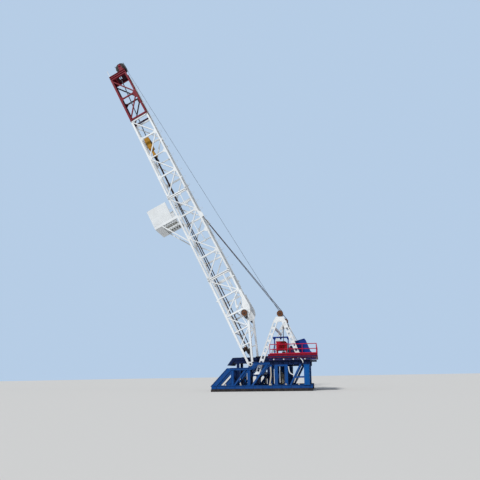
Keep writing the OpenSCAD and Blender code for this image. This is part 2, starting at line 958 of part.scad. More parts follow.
// raising lines: two strands a side from the mast lugs over the A-frame sheaves to the deck
gin_c = gin_r * 0.86 + raise_r + gap;
lug_w = rear(raise_u) + 240;
module raising_lines() {
    p = [to_x(lug_w, raise_u), to_z(lug_w, raise_u)];
    t = touch([gin_x, gin_z], gin_c, p, -1);
    e = (p - t) / norm(p - t) * 60;
    color(black)
        difference() {
            for (s = [-1, 1])
                for (d = [55, -10]) {
                    rod3([p[0] + e[0], s * (mast_y + d), p[1] + e[1]],
                        [t[0], s * (gin_y + d), t[1]], raise_r);
                    rod3([gin_x + gin_c, s * (gin_y + d), gin_z],
                        [gin_x + gin_c, s * (gin_y + d), deck_z + 260], raise_r);
                }
            mast()
                block3([0, -3000, raise_u], [5000, 3000, raise_u + 1000]);
        }
}

module fast_line() {
    p = [4500, deck_z + 1380];
    t = touch([to_x(crown_w, crown_cu), to_z(crown_w, crown_cu)], crown_g, p, 1);
    y = -(crown_sheaves - 1) / 2 * pitch;
    color(steel)
        difference() {
            rod3([t[0], y, t[1]], [p[0], y, p[1]], line_r);
            plane_y(0, 2900)
                housing2d();
        }
}

// climbing ladder behind the rear face, on short stand-offs
module ladder() {
    b = u4 - u1 - 300;
    n = 24;
    hm = middle_u / 4;
    hu = upper_u / 4;
    color(white)
        mast()
            translate([rear(u1), 250, u1])
                rotate([0, -taper_a, 0]) {
                    plane_x(160, 40) {
                        for (s = [-1, 1])
                            translate([s * 200 - 25, -1800])
                                square([50, b + 1800]);
                        for (i = [0 : n])
                            translate([-200, -1700 + i * (b + 1500) / n])
                                square([400, 40]);
                    }
                    for (z = [hm, 2 * hm, 3 * hm, middle_u + hu, middle_u + 2 * hu, middle_u + 3 * hu,
                        middle_u + upper_u + crown_u / 3, middle_u + upper_u + crown_u * 2 / 3])
                        block3([60.05, -225, z - 40], [145, 225, z + 40]);
                }
}

skid_near();
skid_far();
base_spreader();
side_near_outer();
side_near_inner();
side_far_inner();
side_far_outer();
ties_near();
ties_far();
deck_girders();
end_posts();
deck_joists();
winch_deck();
deck_rail();
floor_frame();
drill_floor();
rotary_table();
shoe_near();
shoe_far();
gin_near();
gin_far();
gin_tie();
gin_sheave_near();
gin_sheave_far();
winch_housing();
winch_bed();
red_cabinet();
blue_beam();
line_guides();
lower_near();
lower_far();
lower_back();
middle_near();
middle_far();
middle_back();
upper_near();
upper_far();
upper_back();
crown_near();
crown_far();
crown_back();
crown_frame();
crown_sheave_set();
crown_bearings();
lightning_rod();
knee_sheave_near();
knee_sheave_far();
foot_sheave_near();
foot_sheave_far();
foot_sheave_brackets();
board_floor();
board_walls();
board_braces();
travelling_block();
hook_yoke();
drilling_lines();
sling_lines();
raising_lines();
fast_line();
ladder();
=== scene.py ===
"""Looks of a land drilling rig with a leaning lattice mast, built around its CAD frame."""
import json
import math

import bmesh
import bpy
from mathutils import Matrix, Vector


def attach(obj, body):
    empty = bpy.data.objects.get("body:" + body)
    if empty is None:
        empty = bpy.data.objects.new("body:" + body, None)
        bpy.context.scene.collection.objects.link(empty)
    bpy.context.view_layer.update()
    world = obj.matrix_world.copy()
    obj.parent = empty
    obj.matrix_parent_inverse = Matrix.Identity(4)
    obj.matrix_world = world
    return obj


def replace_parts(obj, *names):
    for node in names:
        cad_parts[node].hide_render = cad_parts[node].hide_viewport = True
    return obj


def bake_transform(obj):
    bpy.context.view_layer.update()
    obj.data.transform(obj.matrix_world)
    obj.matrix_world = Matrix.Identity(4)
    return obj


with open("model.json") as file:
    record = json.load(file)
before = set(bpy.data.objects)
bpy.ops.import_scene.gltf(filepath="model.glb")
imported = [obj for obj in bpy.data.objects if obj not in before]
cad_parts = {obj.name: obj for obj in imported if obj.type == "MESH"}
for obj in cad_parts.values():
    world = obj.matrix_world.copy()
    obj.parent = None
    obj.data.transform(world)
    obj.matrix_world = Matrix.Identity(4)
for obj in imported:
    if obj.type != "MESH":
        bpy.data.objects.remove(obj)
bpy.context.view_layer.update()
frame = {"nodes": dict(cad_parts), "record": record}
NODES = frame["nodes"]

# sizes of the CAD model in metres: w runs across the mast from its front leg, u along it from the foot pins
LEAN = math.radians(25.5)
PIN_X, PIN_Z, PIN_W = -0.18, 2.65, 0.17
FOOT_Y, MAST_Y, CROWN_Y = 2.3, 1.35, 0.61
U1, U2, U3, U4, U5 = 9.95, 20.4, 31.45, 37.45, 38.0
DEPTH, CROWN_DEPTH = 2.4, 1.9
KNEE = 5.4
TAPER = (DEPTH - CROWN_DEPTH) / (U4 - U1)
LEG_HALF = 0.105
BLOCK_U, BLOCK_W = 28.25, 0.6
YOKE_U = BLOCK_U - 2.5
CROWN_R, CROWN_W, CROWN_U = 0.56, 1.6, U5 + 0.65
KNEE_U, KNEE_W, KNEE_Y = 4.95, 1.88, 2.05
FOOT_W, FOOT_U, FOOT_SY, FOOT_R = 0.29, 1.73, 1.5, 0.18
BOARD_U, BOARD_Y, BOARD_W0, BOARD_W1, WALL_H = 18.15, 1.45, -2.84, -0.54, 2.05
BOARD_TOP = BOARD_U + WALL_H
RAISE_U = 16.6
LINE_R, RAISE_R, SLING_R = 0.016, 0.03, 0.045
SLING_Y, FAST_Y, LINE_PITCH = 0.25, -0.3, 0.12
GROOVE = 0.86
BASE_X0, BASE_X1 = -3.8, 5.93
OUTER_Y, HALF_FRAME = 3.9, 0.13
FRAME_ROWS = {"near_outer": -OUTER_Y, "near_inner": -FOOT_Y, "far_inner": FOOT_Y, "far_outer": OUTER_Y}
SKID_H, BEAM_TOP, LOW_BEAM, GIRDER_Z0, GIRDER_Z1 = 0.24, 0.57, 2.05, 2.53, 2.9
SHOE_Z, FLOOR_Z, FLOOR_Y = 2.34, 3.35, 1.3
DECK_LOW, DECK_Z, DECK_X0, DECK_X1, DECK_Y = 3.16, 3.5, 1.8, 6.45, OUTER_Y + 0.25
RAIL_Y, RAIL_X = OUTER_Y + 0.2, 6.39
HOUSE_Z = DECK_Z + 0.2
BEAM_Y, BEAM_Z = -1.0, DECK_Z + 1.775
CAB_Z0, CAB_Z1, CAB_FACE = DECK_Z + 0.43, DECK_Z + 1.33, -2.37
GIN = Vector((2.98, 3.4, 7.48))
GIN_R, GIN_FRAME_Y = 0.3, 3.6
SIDES = ((-1, "near"), (1, "far"))
ALONG_Y, UP = (0, 1, 0), (0, 0, 1)


def mast(w, u, y=0.0):
    """Row-frame point from mast coordinates."""
    dw = w - PIN_W
    return Vector((PIN_X + dw * math.cos(LEAN) - u * math.sin(LEAN), y,
                   PIN_Z + dw * math.sin(LEAN) + u * math.cos(LEAN)))


def rear(u):
    """Rear leg's w at u."""
    return DEPTH - max(0.0, u - U1) * TAPER


def side_y(u):
    """Distance of a side face's middle plane from the middle of the mast."""
    if u < U1:
        return MAST_Y + (U1 - u) * (FOOT_Y - MAST_Y) / U1
    if u < U2:
        return MAST_Y
    if u < U3:
        return MAST_Y - (u - U2) * (MAST_Y - CROWN_Y) / (U3 - U2)
    return CROWN_Y


def in_mast(p):
    """Place for points given as (w, y, u)."""
    return mast(p[0], p[2], p[1])


def on_side(s):
    """Place for points given as (w, distance outward from the side face's middle plane, u)."""
    return lambda p: mast(p[0], p[2], s * (side_y(p[2]) + p[1]))


# materials

def nodes_of(m):
    m.use_nodes = True
    return m.node_tree, m.node_tree.nodes["Principled BSDF"]


def new_node(t, kind, **values):
    """Shader node with its input values."""
    n = t.nodes.new(kind)
    for name, value in values.items():
        n.inputs[name].default_value = value
    return n


def noise(t, coords, scale, detail=4.0, rough=0.55, stretch=(1, 1, 1)):
    mapping = new_node(t, "ShaderNodeMapping", Scale=stretch)
    t.links.new(coords, mapping.inputs["Vector"])
    n = new_node(t, "ShaderNodeTexNoise", Scale=scale, Detail=detail, Roughness=rough)
    t.links.new(mapping.outputs["Vector"], n.inputs["Vector"])
    return n.outputs["Fac"]


def ramp(t, fac, low, high, at_low=(0, 0, 0), at_high=(1, 1, 1)):
    """Colour that goes from at_low to at_high while fac goes from low to high."""
    r = t.nodes.new("ShaderNodeValToRGB")
    for key, place, color in zip(r.color_ramp.elements, (low, high), (at_low, at_high)):
        key.position = place
        key.color = (*color, 1.0)
    t.links.new(fac, r.inputs["Fac"])
    return r.outputs["Color"]


def mix(t, fac, a, b):
    m = t.nodes.new("ShaderNodeMix")
    m.data_type = "RGBA"
    for sock, v in ((m.inputs[0], fac), (m.inputs[6], a), (m.inputs[7], b)):
        if isinstance(v, bpy.types.NodeSocket):
            t.links.new(v, sock)
        else:
            sock.default_value = (*v, 1.0)
    return m.outputs[2]


def edge_mask(t, radius, low, high):
    """Bright where the surface turns sharply: the rounded normal against the true one."""
    rounded = new_node(t, "ShaderNodeBevel", Radius=radius)
    rounded.samples = 4
    dot = t.nodes.new("ShaderNodeVectorMath")
    dot.operation = "DOT_PRODUCT"
    t.links.new(rounded.outputs["Normal"], dot.inputs[0])
    t.links.new(t.nodes.new("ShaderNodeNewGeometry").outputs["Normal"], dot.inputs[1])
    return ramp(t, dot.outputs["Value"], low, high, (1, 1, 1), (0, 0, 0))


MATS = {}
RUST_DARK, RUST_LIGHT = (0.16, 0.06, 0.025), (0.33, 0.15, 0.06)
RUST_START, RUST_WIDTH, RUST_ROUGH = 0.73, 0.04, 0.85
EDGE_RADIUS, SPECULAR, BUMP_DEPTH = 0.02, 0.08, 0.01


def paint(name, color, dirt, amount, rust, rough=0.42, metallic=0.0, scale=1.0, bump=0.15, wear=None):
    """Weathered paint: cloudy tone, dirt in streaks, chips with rust, worn edges, fine bump."""
    m = bpy.data.materials.new(name)
    t, shader = nodes_of(m)
    co = t.nodes.new("ShaderNodeTexCoord").outputs["Object"]
    dull, fresh = (tuple(v * k for v in color) for k in (0.82, 1.12))
    tone = mix(t, noise(t, co, 0.9 * scale, 3), dull, fresh)
    streak = noise(t, co, 1.6 * scale, 5, 0.6, (3.5, 3.5, 0.45))
    mask = ramp(t, streak, 0.42, 0.75, at_high=(amount,) * 3)
    c = mix(t, mask, tone, dirt)
    roughness = mix(t, mask, (rough,) * 3, (min(0.95, rough + 0.35),) * 3)
    if wear:
        broken = ramp(t, noise(t, co, 5.0 * scale, 4), 0.42, 0.62, at_high=(0.7,) * 3)
        c = mix(t, mix(t, edge_mask(t, EDGE_RADIUS, 0.8, 0.97), (0, 0, 0), broken), c, wear)
    if rust > 0:
        start = RUST_START - 0.14 * rust
        spots = ramp(t, noise(t, co, 7.0 * scale, 6, 0.65), start, start + RUST_WIDTH)
        c = mix(t, spots, c, mix(t, noise(t, co, 23.0 * scale, 3), RUST_DARK, RUST_LIGHT))
        roughness = mix(t, spots, roughness, (RUST_ROUGH,) * 3)
    t.links.new(c, shader.inputs["Base Color"])
    t.links.new(roughness, shader.inputs["Roughness"])
    shader.inputs["Metallic"].default_value = metallic
    shader.inputs["Specular IOR Level"].default_value = SPECULAR
    grain = new_node(t, "ShaderNodeBump", Strength=bump, Distance=BUMP_DEPTH)
    t.links.new(noise(t, co, 30.0 * scale, 3), grain.inputs["Height"])
    t.links.new(grain.outputs["Normal"], shader.inputs["Normal"])
    MATS[name] = m


# name, colour, colour and share of its dirt, share of rust, then what differs from plain paint
PRIMER, BARE = (0.2, 0.09, 0.05), (0.3, 0.3, 0.3)
paint("white_paint", (0.74, 0.77, 0.79), (0.56, 0.56, 0.53), 0.3, 0.1, wear=(0.5, 0.48, 0.46))
paint("red_paint", (0.19, 0.003, 0.018), (0.14, 0.03, 0.04), 0.4, 0.15, wear=(0.12, 0.02, 0.02))
# darker copy of red_paint: painted shade on the crown's far side, its back and its floor plates
paint("painted_shade_red", (0.035, 0.003, 0.012), (0.04, 0.012, 0.02), 0.4, 0.1, wear=(0.06, 0.02, 0.03))
paint("blue_paint", (0.006, 0.06, 0.24), (0.05, 0.08, 0.14), 0.4, 0.15, wear=(0.06, 0.16, 0.34))
paint("bright_blue", (0.003, 0.08, 0.3), (0.03, 0.1, 0.24), 0.3, 0.05, wear=(0.12, 0.28, 0.48))
paint("winch_blue", (0.009, 0.042, 0.27), (0.03, 0.035, 0.1), 0.35, 0.0, 0.35, wear=(0.05, 0.1, 0.28))
paint("navy_paint", (0.005, 0.016, 0.07), (0.022, 0.028, 0.05), 0.5, 0.1, wear=(0.03, 0.05, 0.11))
paint("red_deck", (0.22, 0.005, 0.022), (0.14, 0.03, 0.04), 0.5, 0.2, wear=(0.42, 0.05, 0.08))
paint("red_rail", (0.42, 0.01, 0.04), (0.22, 0.04, 0.05), 0.3, 0.05, wear=(0.45, 0.08, 0.1))
paint("cabinet_red", (0.44, 0.01, 0.024), (0.2, 0.02, 0.03), 0.35, 0.05, 0.38, wear=(0.46, 0.07, 0.08))
paint("wind_wall", (0.7, 0.73, 0.75), (0.62, 0.63, 0.61), 0.35, 0.04, 0.5, wear=(0.6, 0.6, 0.58))
paint("yellow_paint", (0.42, 0.205, 0.01), (0.22, 0.13, 0.05), 0.55, 0.7, 0.5, wear=(0.16, 0.11, 0.07))
paint("brown_steel", (0.15, 0.062, 0.03), (0.07, 0.04, 0.03), 0.6, 0.8, 0.55, 0.3, wear=BARE)
paint("black_sheave", (0.016, 0.014, 0.018), (0.05, 0.03, 0.03), 0.5, 0.1, 0.5, wear=(0.12, 0.11, 0.11))
paint("dark_steel", (0.04, 0.038, 0.04), (0.09, 0.07, 0.06), 0.5, 0.4, 0.5, 0.4, wear=BARE)
paint("wire_rope", (0.13, 0.15, 0.18), (0.05, 0.045, 0.04), 0.6, 0.0, 0.42, 0.6, 4.0, 0.6)
paint("pale_rope", (0.21, 0.25, 0.31), (0.1, 0.1, 0.11), 0.5, 0.0, 0.42, 0.3, 4.0, 0.6)
paint("dark_rope", (0.04, 0.018, 0.012), (0.06, 0.04, 0.03), 0.6, 0.0, 0.5, 0.3, 4.0, 0.6)
paint("timber_skid", (0.022, 0.021, 0.023), (0.07, 0.06, 0.05), 0.6, 0.0, 0.8, bump=0.4)
paint("pale_grating", (0.4, 0.41, 0.38), (0.24, 0.23, 0.19), 0.5, 0.3, 0.7, wear=BARE)
paint("beige_panel", (0.46, 0.43, 0.36), (0.25, 0.22, 0.18), 0.6, 0.2, 0.6, wear=PRIMER)
paint("purple_machine", (0.03, 0.024, 0.095), (0.05, 0.035, 0.06), 0.5, 0.2, 0.45, wear=BARE)
paint("lamp_glass", (0.78, 0.8, 0.76), (0.5, 0.48, 0.42), 0.4, 0.0, 0.15)

FINISH_AND_SHADE_OF = {s["node"]: s["material_slot"] for s in frame["record"]["subparts"]}
# the crown's far side and back get the darker red as painted shade
FINISH_AND_SHADE_OF |= {"crown_back": "painted_shade_red", "crown_far": "painted_shade_red"}
for name, o in NODES.items():
    if not o.material_slots:
        o.data.materials.append(MATS[FINISH_AND_SHADE_OF[name]])
    for slot in o.material_slots:
        slot.material = MATS[FINISH_AND_SHADE_OF[name]]


# building helpers

def circle(c, r, s, t, n):
    """n points round c in the plane of s and t."""
    return [c + r * (math.cos(k * math.tau / n) * s + math.sin(k * math.tau / n) * t) for k in range(n)]


def steps(start, pitch, n):
    """n places from start on, a pitch apart."""
    return [start + k * pitch for k in range(n)]


def add_object(name, data):
    """New object in the scene."""
    o = bpy.data.objects.new(name, data)
    bpy.context.collection.objects.link(o)
    return o


class Piece:
    """One mesh piece gathered from bars, plates, tubes and turned shapes."""

    def __init__(self, name, finish, place=Vector):
        self.name, self.finish, self.place = name, finish, place
        self.verts, self.faces = [], []

    def put(self, pts, faces):
        n = len(self.verts)
        self.verts += [self.place(p) for p in pts]
        self.faces += [tuple(n + i for i in f) for f in faces]

    def box(self, lo, hi):
        """Box between two opposite corners."""
        pts = [(x, y, z) for z in (lo[2], hi[2]) for y in (lo[1], hi[1]) for x in (lo[0], hi[0])]
        self.put(pts, [(0, 2, 3, 1), (4, 5, 7, 6), (0, 1, 5, 4), (1, 3, 7, 5), (3, 2, 6, 7), (2, 0, 4, 6)])

    def both(self, lo, hi):
        """Box and its mirror image across the middle plane."""
        for s in (-1, 1):
            self.box((lo[0], s * lo[1], lo[2]), (hi[0], s * hi[1], hi[2]))

    def bar(self, p, q, a, b, side=ALONG_Y):
        """Bar from p to q, a wide along side and b the other way."""
        p, q, s = Vector(p), Vector(q), Vector(side)
        d = (q - p).normalized()
        s = (s - d * s.dot(d)).normalized() * a / 2
        t = d.cross(s).normalized() * b / 2
        pts = [e + m * s + n * t for e in (p, q) for m, n in ((-1, -1), (1, -1), (1, 1), (-1, 1))]
        self.put(pts, [(3, 2, 1, 0), (4, 5, 6, 7), (0, 1, 5, 4), (1, 2, 6, 5), (2, 3, 7, 6), (3, 0, 4, 7)])

    def plate(self, outline, y0, y1):
        """Flat plate with its outline in the XZ plane, between y0 and y1."""
        n = len(outline)
        pts = [(x, y, z) for y in (y0, y1) for x, z in outline]
        sides = [(i, (i + 1) % n, n + (i + 1) % n, n + i) for i in range(n)]
        self.put(pts, [tuple(range(n - 1, -1, -1)), tuple(range(n, 2 * n))] + sides)

    def web(self, outline, y, thick):
        """Flat plate about a middle plane."""
        self.plate(outline, y - thick / 2, y + thick / 2)

    def rings(self, rows, closed=False):
        """Skin over rings of points, with end faces or, when closed, back to the first."""
        m, n = len(rows), len(rows[0])
        faces = [(j * n + k, j * n + (k + 1) % n, (j + 1) % m * n + (k + 1) % n, (j + 1) % m * n + k)
                 for j in range(m if closed else m - 1) for k in range(n)]
        if not closed:
            faces += [tuple(range(n - 1, -1, -1)), tuple(range((m - 1) * n, m * n))]
        self.put([p for row in rows for p in row], faces)

    def tube(self, pts, r, n=12):
        """Round tube along a line of points, closed at its ends."""
        pts = [Vector(p) for p in pts]
        d = (pts[1] - pts[0]).normalized()
        s = d.orthogonal().normalized()
        rows = []
        for i, p in enumerate(pts):
            a = (p - pts[i - 1]).normalized() if i else d
            b = (pts[i + 1] - p).normalized() if i + 1 < len(pts) else a
            d = (a + b).normalized()
            s = (s - d * s.dot(d)).normalized()
            rows.append(circle(p, r, s, d.cross(s), n))
        self.rings(rows)

    def turned(self, c, axis, profile, n=16, closed=False):
        """Shape turned about an axis through c from (radius, height) pairs."""
        c, d = Vector(c), Vector(axis).normalized()
        s = d.orthogonal().normalized()
        self.rings([circle(c + d * h, r, s, d.cross(s), n) for r, h in profile], closed)

    def bolt(self, c, axis=ALONG_Y, r=0.018, h=0.016):
        """Bolt head on the face at c."""
        self.turned(c, axis, [(r, -0.004), (r, h * 0.8), (r * 0.8, h)], 6)

    def done(self, body=None, bevel=0.004):
        """Make the object, give it its finish and let it ride on a body."""
        me = bpy.data.meshes.new(self.name)
        me.from_pydata(self.verts, [], self.faces)
        bm = bmesh.new()
        bm.from_mesh(me)
        bmesh.ops.recalc_face_normals(bm, faces=bm.faces)
        bm.to_mesh(me)
        bm.free()
        me.polygons.foreach_set("use_smooth", [True] * len(me.polygons))
        me.set_sharp_from_angle(angle=math.radians(38))
        me.materials.append(MATS[self.finish])
        o = add_object(self.name, me)
        if bevel:
            mod = o.modifiers.new("edges", "BEVEL")
            mod.width, mod.segments = bevel, 1
            mod.limit_method, mod.angle_limit = "ANGLE", math.radians(50)
            mod.use_clamp_overlap = True
        if body:
            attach(o, body)
        return o


def touch(c, r, p, side):
    """Point where the line from p touches a circle about c, and its angle."""
    dx, dz = p[0] - c[0], p[1] - c[1]
    a = math.atan2(dz, dx) + side * math.acos(r / math.hypot(dx, dz))
    return (c[0] + r * math.cos(a), c[1] + r * math.sin(a)), a


def split(p, q, n):
    """n + 1 points from p to q."""
    p, q = Vector(p), Vector(q)
    return [p.lerp(q, i / n) for i in range(n + 1)]


def arc(c, r, a0, a1, y, n):
    """Points on a circle about c in the XZ plane at y."""
    turns = [a0 + (a1 - a0) * i / n for i in range(n + 1)]
    return [Vector((c[0] + r * math.cos(a), y, c[1] + r * math.sin(a))) for a in turns]


def ring(c, r, n, y):
    """n points round a circle about c in the XZ plane at y."""
    return arc(c, r, 0, math.tau, y, n)[:-1]


def trapezoid(x, z0, half0, z1, half1):
    """Outline about x, half0 to each side at z0 and half1 at z1."""
    return [(x - half0, z0), (x + half0, z0), (x + half1, z1), (x - half1, z1)]


def spindle(*half):
    """Profile mirrored about its middle, from the (radius, height) pairs of its upper half."""
    return [(r, -h) for r, h in reversed(half)] + list(half)


# mast: leg flanges, gussets, splices, posts and brackets on each side face
SKIN, STRIP, STRIP_GAP, STRIP_OFF = 0.104, (0.014, 0.026), 0.12, 0.085
GUSSET_IN, GUSSET_OUT = 0.058, 0.074
GUSSET_BOLTS = ((0.07, 0.12), (0.07, -0.12), (0.19, 0.05), (0.19, -0.05))
SPLICE_HALF, SPLICE_THICK = 0.135, 0.035
SPLICE_PIN = spindle((0.032, 0.12), (0.045, 0.125), (0.045, 0.145), (0.032, 0.15))
INNER_POSTS = (((1.35, 20.2), (1.4, 18.7)), ((1.25, 16.7), (1.31, 15.1)))
LINE_BRACKETS = ((rear(27.4), 27.4, 1), (rear(22), 22.0, 1), (DEPTH, 9.13, 1), (DEPTH, 7.35, 1),
                 (0.0, 7.43, -1))


def leg_strips(p, a, b):
    """Flange strips on the outside of both legs of a section, and on the slanting leg of the lowest."""
    low = a < U1
    start = KNEE + 1.2 if low else a + STRIP_GAP
    end = b - STRIP_GAP
    for off in (-STRIP_OFF, STRIP_OFF):
        p.bar((off, SKIN, a + STRIP_GAP), (off, SKIN, end), *STRIP)
        p.bar((rear(start) + off * 0.9, SKIN, start), (rear(b) + off * 0.9, SKIN, end), *STRIP)
    if low:
        for off in (-0.09, 0.09):
            p.bar((0.47 + off, SKIN, 0.25), (DEPTH - 0.33 + off, SKIN, KNEE - 0.85), *STRIP)


def leg_gussets(p, heights):
    for u in heights:
        for w, turn in ((LEG_HALF, 1), (rear(u) - LEG_HALF + 0.01, -1)):
            tip = w + turn * 0.26
            p.plate([(w, u - 0.3), (tip, u - 0.1), (tip, u + 0.1), (w, u + 0.3)], GUSSET_IN, GUSSET_OUT)
            for dw, du in GUSSET_BOLTS:
                p.bolt((w + turn * dw, GUSSET_OUT, u + du))


def splice(p, pins, u):
    """Plates and pins where two sections meet at u."""
    for w in (0.0, rear(u)):
        p.box((w - SPLICE_HALF, -0.13, u - SPLICE_THICK), (w + SPLICE_HALF, 0.13, u + SPLICE_THICK))
        for du in (-0.16, 0.16):
            pins.turned((w, 0.0, u + du), ALONG_Y, SPLICE_PIN)
        for dw in (-0.08, 0.08):
            pins.tube([(w + dw, 0.115, u - 0.06), (w + dw, 0.115, u + 0.06)], 0.014, 6)
    pins.bar((LEG_HALF + 0.04, 0.062, u), (rear(u) - LEG_HALF - 0.04, 0.062, u), 0.012, 0.05)


def line_bracket(p, w, u, turn):
    """Small roller bracket that stands off a leg."""
    a = w + turn * LEG_HALF
    root, tip = a - turn * 0.03, a + turn * 0.15
    for dy in (-0.07, 0.07):
        p.web([(root, u - 0.1), (tip, u - 0.04), (tip, u + 0.04), (root, u + 0.1)], dy, 0.02)
    roll = [(0.02, -0.09), (0.04, -0.06), (0.03, 0), (0.04, 0.06), (0.02, 0.09)]
    p.turned((a + turn * 0.1, 0, u), ALONG_Y, roll)


def knee_plate(p):
    """Bolted plate about the knee and the jack beside it."""
    outline = [(-0.28, 0.35), (0.18, 0.3), (0.2, -0.35), (-0.2, -0.3)]
    p.plate([(DEPTH + w, KNEE + u) for w, u in outline], 0.098, 0.125)
    for du in (-0.22, -0.07, 0.08, 0.23):
        for dw in (-0.16, 0.0, 0.14):
            p.bolt((DEPTH + dw, 0.125, KNEE + du), r=0.024, h=0.02)
    jack = [(0.05, 0), (0.09, 0.03), (0.09, 0.62), (0.055, 0.66), (0.055, 1.0), (0.08, 1.04), (0.05, 1.08)]
    p.turned((1.45, 0.12, 6.0), (0.27, 0.0, 1.0), jack, 20)
    p.plate([(1.33, 5.82), (1.62, 5.82), (1.58, 6.1), (1.38, 6.1)], 0.04, 0.2)


def knee_bracket(p, s):
    """Slotted bracket under the knee sheave and the cap of its shaft."""
    y = s * KNEE_Y
    for d in (-0.115, 0.115):
        p.web(trapezoid(KNEE_W, KNEE_U - 0.4, 0.17, KNEE_U - 0.62, 0.12), y + d, 0.024)
    p.box((KNEE_W - 0.17, y - 0.12, KNEE_U - 0.42), (KNEE_W + 0.17, y + 0.12, KNEE_U - 0.38))
    p.turned((KNEE_W, y, KNEE_U - 0.55), ALONG_Y, spindle((0.045, 0.145), (0.03, 0.15)))
    heights = (0.07, 0.075, 0.09, 0.11) if s > 0 else (-0.09, -0.08, -0.075, -0.07)
    p.turned((KNEE_W, y, KNEE_U), ALONG_Y, list(zip((0.06, 0.085, 0.085, 0.05), heights)), 18)


for s, side in SIDES:
    white = Piece(f"leg_fittings_{side}", "white_paint", on_side(s))
    red = Piece(f"crown_fittings_{side}", "red_paint", on_side(s))
    pins = Piece(f"splice_pins_{side}", "dark_steel", on_side(s))
    guides = Piece(f"line_brackets_{side}", "white_paint", on_side(s))
    slotted = Piece(f"knee_bracket_{side}", "dark_steel", in_mast)
    for a, b in ((0.35, U1), (U1, U2), (U2, U3), (U3, U4)):
        leg_strips(red if b == U4 else white, a, b)
    for a, b in ((U1, U2), (U2, U3)):
        leg_gussets(white, [a + (b - a) * i / 4 for i in (1, 2, 3)])
    leg_gussets(red, [U3 + 3.15])
    for u in (U1, U2, U3):
        splice(white if u < U3 else red, pins, u)
    for post in INNER_POSTS:
        white.bar(*((w, 0, u) for w, u in post), 0.09, 0.08)
        for w, u in post:
            white.plate(trapezoid(w, u - 0.05, 0.13, u + 0.09, 0.07), -0.055, 0.07)
    for place in LINE_BRACKETS:
        line_bracket(guides, *place)
    knee_plate(white)
    knee_bracket(slotted, s)
    for p in ring((PIN_W, 0.0), 0.19, 8, 0.102):
        white.bolt(p, r=0.016, h=0.014)
    for p in (white, red, pins, guides, slotted):
        p.done("mast")

# cross struts inside the lower section
STRUT_U = 3.6
low = Piece("lower_struts", "white_paint", in_mast)
y = side_y(STRUT_U) - 0.06
low.bar((0.0, -y, STRUT_U + 0.15), (0.0, y, STRUT_U + 0.15), 0.12, 0.12, UP)
for s in (-1, 1):
    low.web(trapezoid(0.03, STRUT_U + 0.02, 0.09, STRUT_U + 0.28, 0.07), s * y, 0.04)
low.bar((1.1, -1.78, 5.5), (1.1, 1.78, 5.5), 0.1, 0.1, UP)
low.done("mast")

# ladder rungs and hoops
LADDER_Y0, LADDER_Y1, RUNG_PITCH, HOOP_PITCH = 0.05, 0.45, 0.3, 1.08
rungs = Piece("ladder_rungs", "white_paint", in_mast)
u = U1 - 1.6
while u < U4 - 0.4:
    w = DEPTH - (u - U1) * TAPER + 0.16
    rungs.tube([(w, LADDER_Y0, u), (w, LADDER_Y1, u)], 0.011, 8)
    u += RUNG_PITCH
turns = steps(0, math.pi / 8, 9)
for u in steps(U1 + 0.8, HOOP_PITCH, 24):
    w = rear(u) + 0.18
    rungs.tube([(w + 0.36 * math.sin(a), 0.25 - 0.23 * math.cos(a), u) for a in turns], 0.01, 6)
rungs.done("mast", 0)

# crown: beam stiffeners, shaft caps, floor plates beside the lines and rope keeper
SHAFT_CAP = [(0.16, 0), (0.16, 0.03), (0.13, 0.045), (0.05, 0.05)]
crown_c = (CROWN_W, CROWN_U)
trim = Piece("crown_trim", "red_paint", in_mast)
for w in steps(0.05, 0.34, 6):
    trim.both((w, CROWN_Y + 0.015, U4 + 0.035), (w + 0.014, CROWN_Y + 0.085, U5 - 0.035))
for s in (-1, 1):
    cap_y = s * (CROWN_Y + 0.07)
    trim.turned((CROWN_W, cap_y, CROWN_U), (0, s, 0), SHAFT_CAP, 28)
    for p in ring(crown_c, 0.12, 6, cap_y + s * 0.04):
        trim.bolt(p, (0, s, 0))
    for dw in (-0.2, 0.2):
        foot, head = CROWN_W + dw, CROWN_W + dw * 0.5
        rib = [(foot - 0.01, U5), (foot + 0.01, U5), (head + 0.01, U5 + 0.35), (head - 0.01, U5 + 0.35)]
        trim.plate(rib, s * (CROWN_Y - 0.12), s * (CROWN_Y + 0.12))
trim.done("mast")

COVER_W0, COVER_W1, COVER_Y0, COVER_Y1 = 0.57, 1.65, 0.38, CROWN_Y - 0.03
COVER_U0, COVER_U1 = U4 + 0.07, U4 + 0.082
# the floor plates take the darker red as painted shade in the crown's recess
cover = Piece("crown_floor", "painted_shade_red", in_mast)
cover.both((COVER_W0, COVER_Y0, COVER_U0), (COVER_W1, COVER_Y1, COVER_U1))
for w in (0.75, 1.3, 1.5):
    cover.both((w, COVER_Y0, U4 + 0.01), (w + 0.01, COVER_Y1, COVER_U0))
for w0, w1 in ((COVER_W0, 0.93), (1.22, COVER_W1)):
    cover.box((w0, -COVER_Y0, COVER_U0), (w1, COVER_Y0, COVER_U1))
cover.done("mast")

KEEPER_R = 0.6
keeper = Piece("rope_keeper", "dark_steel", in_mast)
for a in (-0.35, 0.3, 2.7, 3.5):
    w, u = CROWN_W + KEEPER_R * math.cos(a), CROWN_U + KEEPER_R * math.sin(a)
    hub_w, hub_u = CROWN_W + 0.12 * math.cos(a), CROWN_U + 0.12 * math.sin(a)
    keeper.tube([(w, -CROWN_Y, u), (w, CROWN_Y, u)], 0.018, 10)
    for y in (CROWN_Y - 0.09, 0.09 - CROWN_Y):
        keeper.bar((hub_w, y, hub_u), (w, y, u), 0.012, 0.06)
keeper.done("mast")


